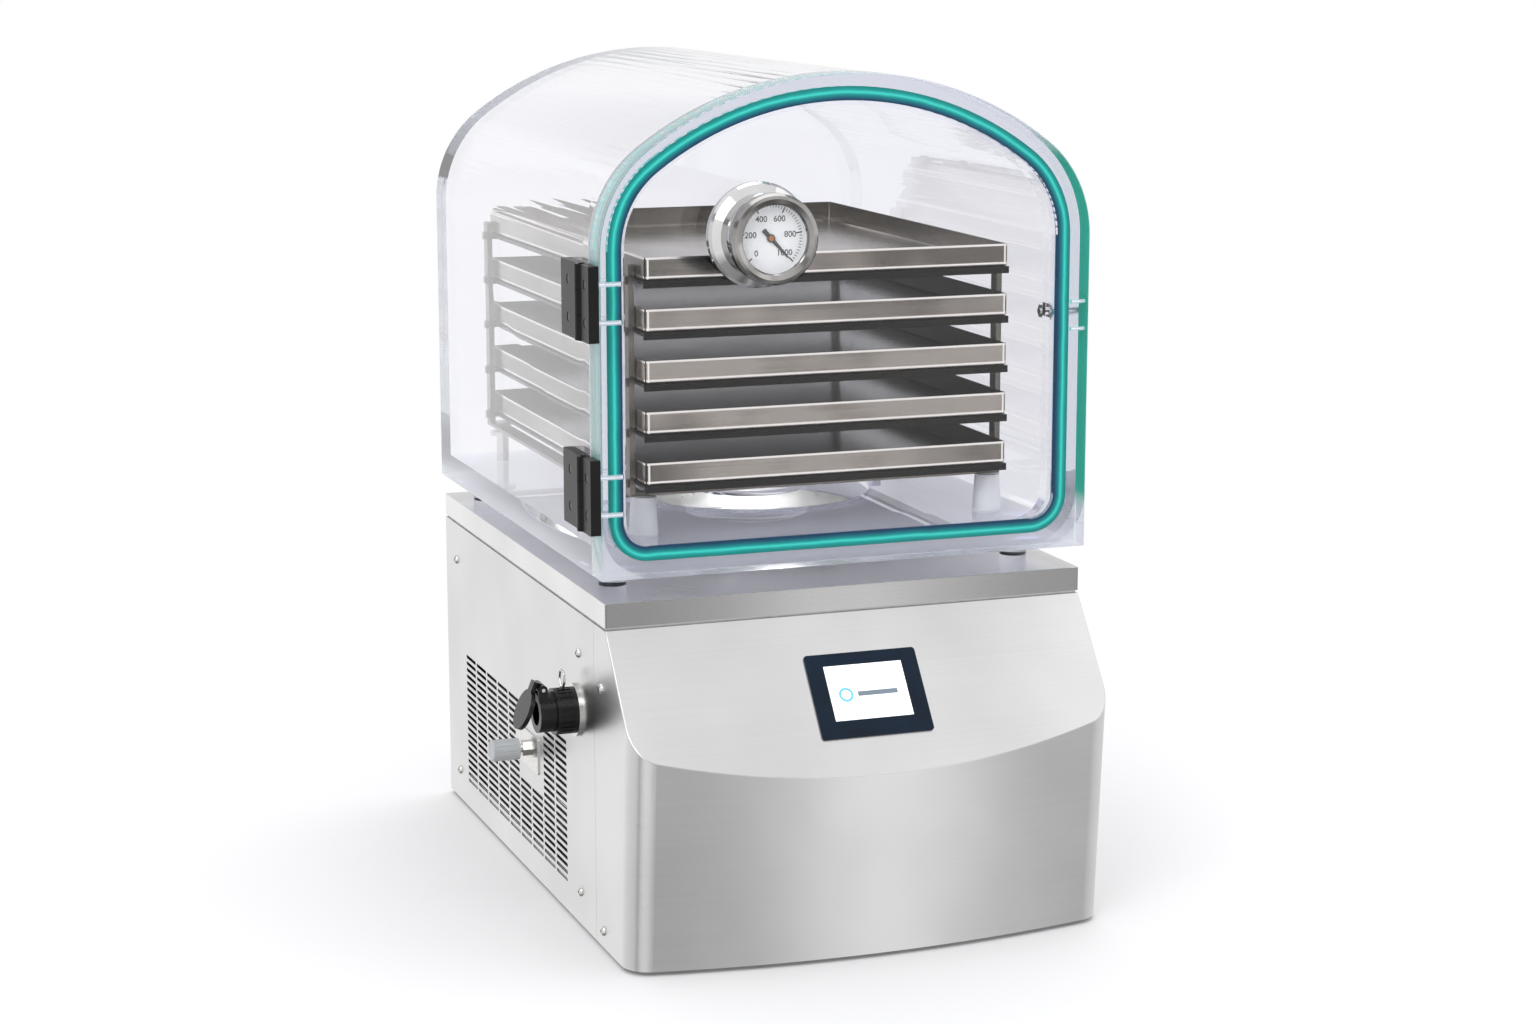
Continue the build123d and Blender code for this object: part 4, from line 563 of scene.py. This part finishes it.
WEARS = {
    sheet_steel: ["front_cover", "left_side_panel", "right_side_panel", "rear_panel"],
    lid_steel: ["top_plate"],
    tray_steel: TRAYS,
    shelf_steel_painted_shade: ["shelves"],
    rack_steel: ["rack_frame"],
    vessel_steel: ["condenser_vessel", "pipework"],
    zinc_steel: ["base_pan", "inner_frame"],
    box_zinc: ["power_supply"],
    fastener_steel: ["panel_screws", "vacuum_port_flange", "vacuum_port_clip", "drain_valve",
                     "catch_strap", "catch_keeper", "rack_studs"],
    screw_steel: ["door_screws", "frame_hinge_pins"],
    polished_steel: ["gauge_case"],
    bezel_steel: ["gauge_bezel"],
    copper: ["evaporator_jacket"],
    fin_aluminium: ["condenser_coil"],
    acrylic: ["chamber_shell", "chamber_floor", "chamber_back", "front_frame", "baffle"],
    door_acrylic: ["door_panel"],
    gauge_glass: ["gauge_lens"],
    clear_rubber: ["chamber_pads"],
    teal_silicone: ["door_gasket"],
    black_rubber: ["feet"],
    black_nylon: ["frame_hinge_leaves", "door_hinge_leaves"],
    black_plastic: ["vacuum_port_collar", "vacuum_port_body", "vacuum_port_cap", "mains_inlet",
                    "switch_body", "switch_rocker", "fan_housing", "fan_rotor_front",
                    "fan_rotor_rear"],
    grey_plastic: ["drain_knob"],
    white_ptfe: ["rack_feet"],
    screen_frame: ["screen_housing"],
    screen_face: ["screen_display"],
    heater_mat: ["shelf_heaters"],
    foam: ["vessel_insulation"],
    compressor_enamel: ["compressor"],
    dial_enamel: ["gauge_dial"],
    ink_black: ["gauge_pointer"],
}
for material, names in WEARS.items():
    for name in names:
        for held in nodes[name].material_slots:
            held.material = material


# ---- pieces made here -------------------------------------------------------
def select(*pieces):
    """Makes these objects the only ones selected, and the first of them active."""
    bpy.ops.object.select_all(action="DESELECT")
    for piece in pieces:
        piece.select_set(True)
    bpy.context.view_layer.objects.active = pieces[0]


def finish_piece(piece, material, body):
    """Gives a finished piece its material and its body."""
    piece.data.materials.clear()
    piece.data.materials.append(material)
    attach(piece, body)


def set_in_place(piece, spot):
    """Turns a piece made flat to face the front, at a spot, and writes that into its mesh."""
    piece.matrix_world = Matrix.Translation(spot) @ Matrix.Rotation(math.radians(90), 4, "X")
    bpy.ops.object.transform_apply(location=True, rotation=True, scale=True)


def welded_copy(node, name):
    """A copy of a CAD node as a new piece, its triangles merged into one closed mesh."""
    piece = bpy.data.objects.new(name, nodes[node].data.copy())
    bpy.context.scene.collection.objects.link(piece)
    select(piece)
    bpy.ops.mesh.customdata_custom_splitnormals_clear()
    bpy.ops.object.mode_set(mode="EDIT")
    bpy.ops.mesh.select_all(action="SELECT")
    bpy.ops.mesh.remove_doubles(threshold=0.002 * MM)
    bpy.ops.object.mode_set(mode="OBJECT")
    return piece


def clear_chamber():
    """The chamber's tunnel, floor, back and front frame, welded into one clear body, so
    that light passes their cemented joints unbroken."""
    whole = welded_copy("chamber_shell", "clear_chamber")
    for node in ("chamber_floor", "chamber_back", "front_frame"):
        part = welded_copy(node, "joining_" + node)
        select(whole)
        join = whole.modifiers.new("join", "BOOLEAN")
        join.operation = "UNION"
        join.solver = "EXACT"
        join.object = part
        bpy.ops.object.modifier_apply(modifier="join")
        bpy.data.objects.remove(part)
    bpy.ops.object.shade_smooth_by_angle(angle=math.radians(25))
    finish_piece(whole, acrylic, "cabinet")
    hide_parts("chamber_shell", "chamber_floor", "chamber_back", "front_frame")


def dial_stroke(angle, inner, width):
    """One flat stroke on the dial, from inner to the scale's end, in millimetres."""
    bpy.ops.mesh.primitive_cube_add(size=1)
    stroke = bpy.context.active_object
    stroke.scale = ((STROKES_END - inner) * MM, width * MM, 0.06 * MM)
    turn = Matrix.Rotation(math.radians(angle), 4, "Z")
    stroke.location = turn @ Vector(((STROKES_END + inner) / 2 * MM, 0, 0.04 * MM))
    stroke.rotation_euler = (0, 0, math.radians(angle))
    bpy.ops.object.transform_apply(location=True, rotation=True, scale=True)
    return stroke


def dial_number(value, angle):
    """One number of the dial's scale, as a mesh."""
    bpy.ops.object.text_add()
    held = bpy.context.active_object
    held.data.body = str(value)
    held.data.size = NUMBER_SIZE * MM
    held.data.offset = 0.1 * MM
    held.data.align_x = "CENTER"
    held.data.align_y = "CENTER"
    held.data.extrude = 0.03 * MM
    bpy.ops.object.convert(target="MESH")
    held = bpy.context.active_object
    turn = Matrix.Rotation(math.radians(angle), 4, "Z")
    held.location = turn @ Vector((NUMBERS_OUT * MM, 0, 0.05 * MM))
    bpy.ops.object.transform_apply(location=True, rotation=True, scale=True)
    return held


def dial_scale():
    """The dial's strokes and numbers, joined into one print."""
    marks = []
    for step in range(DIAL_STEPS + 1):
        angle = DIAL_FROM - DIAL_TURN * step / DIAL_STEPS
        numbered = step % STROKES_TO_A_NUMBER == 0
        marks.append(dial_stroke(angle, **(LONG_STROKE if numbered else SHORT_STROKE)))
        if numbered:
            marks.append(dial_number(step * DIAL_TOP // DIAL_STEPS, angle))
    select(*marks)
    bpy.ops.object.join()
    whole = marks[0]
    whole.name = "dial_scale"
    set_in_place(whole, DIAL_MIDDLE)
    finish_piece(whole, ink_black, "door")


def pointer_boss():
    """The brass cap pressed on the pointer's arbor."""
    bpy.ops.object.select_all(action="DESELECT")
    bpy.ops.mesh.primitive_cylinder_add(vertices=32, radius=BOSS_R, depth=BOSS_H)
    boss = bpy.context.active_object
    boss.name = "pointer_boss"
    bpy.ops.object.mode_set(mode="EDIT")
    bpy.ops.mesh.select_all(action="SELECT")
    bpy.ops.mesh.bevel(offset=0.3 * MM, segments=3)
    bpy.ops.object.mode_set(mode="OBJECT")
    pointer_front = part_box("gauge_pointer")[0].y
    set_in_place(boss, (DIAL_MIDDLE.x, pointer_front - 0.4 * MM, DIAL_MIDDLE.z))
    bpy.ops.object.shade_smooth_by_angle(angle=math.radians(35))
    finish_piece(boss, brass, "gauge_pointer")


def broaden_pointer():
    """Draws the pointer broader than its sheet all round, so that it shows."""
    pointer = nodes["gauge_pointer"]
    weld = pointer.modifiers.new("weld", "WELD")
    weld.merge_threshold = 0.002 * MM
    broaden = pointer.modifiers.new("broaden", "DISPLACE")
    broaden.mid_level = 0.0
    broaden.strength = POINTER_BROADER


clear_chamber()
dial_scale()
pointer_boss()
broaden_pointer()

# ---- room, light and camera -------------------------------------------------
FLOOR_R = 30
# The floor fades to plain white between these distances from its middle.
FLOOR_FADE = (0.35, 1.3)
# Brightness round the horizon: 0 and 1 lie to the right, 0.25 behind, 0.5 left, 0.75 in front.
STUDIO = [(0.0, 0.95), (0.12, 0.9), (0.25, 1.0), (0.3, 1.15), (0.42, 1.0), (0.53, 0.95),
          (0.55, 0.35), (0.575, 0.95), (0.62, 1.2), (0.69, 1.1), (0.735, 0.55), (0.775, 0.9),
          (0.815, 1.65), (0.85, 0.95), (0.885, 0.62), (0.94, 0.9)]
# How the room's brightness changes from the ground, 0, past the horizon, 0.5, to overhead, 1.
STUDIO_LEVELS = [(0.0, 0.3), (0.16, 0.35), (0.27, 1.0), (0.63, 1.0), (0.67, 0.45),
                 (0.73, 0.45), (0.77, 1.0), (1.0, 1.05)]
LAMPS_AIM = Vector((0, 0, 0.4))
# The camera's spot in millimetres by place(), and how it is turned, in degrees.
CAMERA_SPOT = (-958.5, -2680.8, 878.5)
CAMERA_TURN = 20.15
CAMERA_DOWN = 11.0


def seen_straight(tree, path):
    """1 for rays from the camera, directly or through clear pieces."""
    return add(tree, "Math", {0: path["Is Camera Ray"], 1: path["Is Transmission Ray"]},
               operation="ADD", use_clamp=True)["Value"]


def pale_floor():
    """A pale floor that takes the object's shadow and fades to plain white further off."""
    bpy.ops.mesh.primitive_circle_add(vertices=96, radius=FLOOR_R, fill_type="NGON",
                                      location=MIDDLE)
    floor = bpy.context.active_object
    floor.name = "floor"
    material, tree, shader = start("floor_pale")
    fill(tree, shader, {"Base Color": linear("#e9e9ea"), "Roughness": 0.9})
    where = add(tree, "TexCoord")["Object"]
    reach = add(tree, "VectorMath", {0: where}, operation="LENGTH")["Value"]
    far = add(tree, "MapRange", {"Value": reach, "From Min": FLOOR_FADE[0],
                                 "From Max": FLOOR_FADE[1]},
              interpolation_type="SMOOTHSTEP")["Result"]
    share = add(tree, "Math", {0: far, 1: seen_straight(tree, add(tree, "LightPath"))},
                operation="MULTIPLY")["Value"]
    white = add(tree, "Emission", {"Color": (1, 1, 1, 1), "Strength": 1.0})["Emission"]
    skin = add(tree, "MixShader", {0: share, 1: shader.outputs["BSDF"], 2: white})["Shader"]
    fill(tree, tree.nodes["Material Output"], {"Surface": skin})
    floor.data.materials.append(material)
    floor.visible_glossy = False


def studio_world():
    """Soft light from all round, with a brighter and a dimmer side that steel mirrors. The
    camera sees plain white. Through clear pieces it is white too, but greyer where it is
    seen steeply up or down, which shows their edges."""
    world = bpy.data.worlds.new("studio")
    bpy.context.scene.world = world
    world.use_nodes = True
    tree = world.node_tree
    tree.nodes.clear()
    way = add(tree, "TexCoord")["Generated"]
    turned = add(tree, "Mapping", {"Vector": way, "Rotation": (0, 0, math.radians(180))})
    round_about = add(tree, "TexGradient", {"Vector": turned["Vector"]}, gradient_type="RADIAL")
    light = add(tree, "ValToRGB", {"Fac": round_about["Fac"]},
                stops=[(position, (v, v, v, 1)) for position, v in STUDIO])["Color"]
    steep = add(tree, "SeparateXYZ", {"Vector": way})["Z"]
    height = add(tree, "MapRange", {"Value": steep, "From Min": 0.1, "From Max": 0.75},
                 interpolation_type="SMOOTHSTEP")["Result"]
    sky = add(tree, "Mix", {"Factor": height, "A": light, "B": (1.1, 1.1, 1.11, 1)},
              data_type="RGBA")["Result"]
    rise = add(tree, "MapRange", {"Value": steep, "From Min": -1.0, "From Max": 1.0})["Result"]
    levels = add(tree, "ValToRGB", {"Fac": rise},
                 stops=[(position, (v, v, v, 1)) for position, v in STUDIO_LEVELS])["Color"]
    room = add(tree, "Mix", {"Factor": 1.0, "A": sky, "B": levels},
               data_type="RGBA", blend_type="MULTIPLY")["Result"]
    path = add(tree, "LightPath")
    level = add(tree, "Math", {0: steep}, operation="ABSOLUTE")["Value"]
    off_level = add(tree, "MapRange", {"Value": level, "From Min": 0.35, "From Max": 0.6},
                    interpolation_type="SMOOTHSTEP")["Result"]
    away = add(tree, "Math", {0: off_level, 1: path["Is Transmission Ray"]},
               operation="MULTIPLY")["Value"]
    plain = add(tree, "Mix", {"Factor": away, "A": (1, 1, 1, 1), "B": (0.5, 0.52, 0.57, 1)},
                data_type="RGBA")["Result"]
    shown = add(tree, "Mix", {"Factor": seen_straight(tree, path), "A": room, "B": plain},
                data_type="RGBA")["Result"]
    back = add(tree, "Background", {"Color": shown, "Strength": 1.0})["Background"]
    add(tree, "OutputWorld", {"Surface": back})


def hang(name, data, spot):
    """Puts a new lamp or camera into the scene at a spot."""
    held = bpy.data.objects.new(name, data)
    held.location = spot
    bpy.context.scene.collection.objects.link(held)
    return held


def soft_lamp(name, spot, size, watts):
    """A large square soft lamp that faces the object."""
    data = bpy.data.lights.new(name, "AREA")
    data.shape = "RECTANGLE"
    data.size = data.size_y = size
    data.energy = watts
    held = hang(name, data, spot)
    held.rotation_euler = (LAMPS_AIM - Vector(spot)).to_track_quat("-Z", "Y").to_euler()


def bowl_lamp():
    """A small lamp inside the condenser's bowl, in place of the light the bowl gathers."""
    data = bpy.data.lights.new("bowl", "POINT")
    data.energy = 0.6
    data.shadow_soft_size = 20 * MM
    hang("bowl", data, place(0, 0, 230))


pale_floor()
studio_world()
bowl_lamp()
soft_lamp("key", (-1.8, -2.0, 2.2), 1.6, 26)
soft_lamp("fill", (2.4, -1.2, 1.6), 2.6, 12)
soft_lamp("top", (0.2, 0.5, 2.6), 2.0, 18)

camera = hang("camera", bpy.data.cameras.new("camera"), place(*CAMERA_SPOT))
camera.data.lens = 72.0
camera.data.sensor_width = 36.0
camera.rotation_euler = Euler((math.radians(90 - CAMERA_DOWN), 0, -math.radians(CAMERA_TURN)))
scene = bpy.context.scene
scene.camera = camera
scene.view_settings.view_transform = "Standard"
# Light runs along the thick clear walls by many inner reflections before it leaves them.
scene.cycles.max_bounces = 40
scene.cycles.glossy_bounces = 32
scene.cycles.transmission_bounces = 40
scene.cycles.transparent_max_bounces = 32
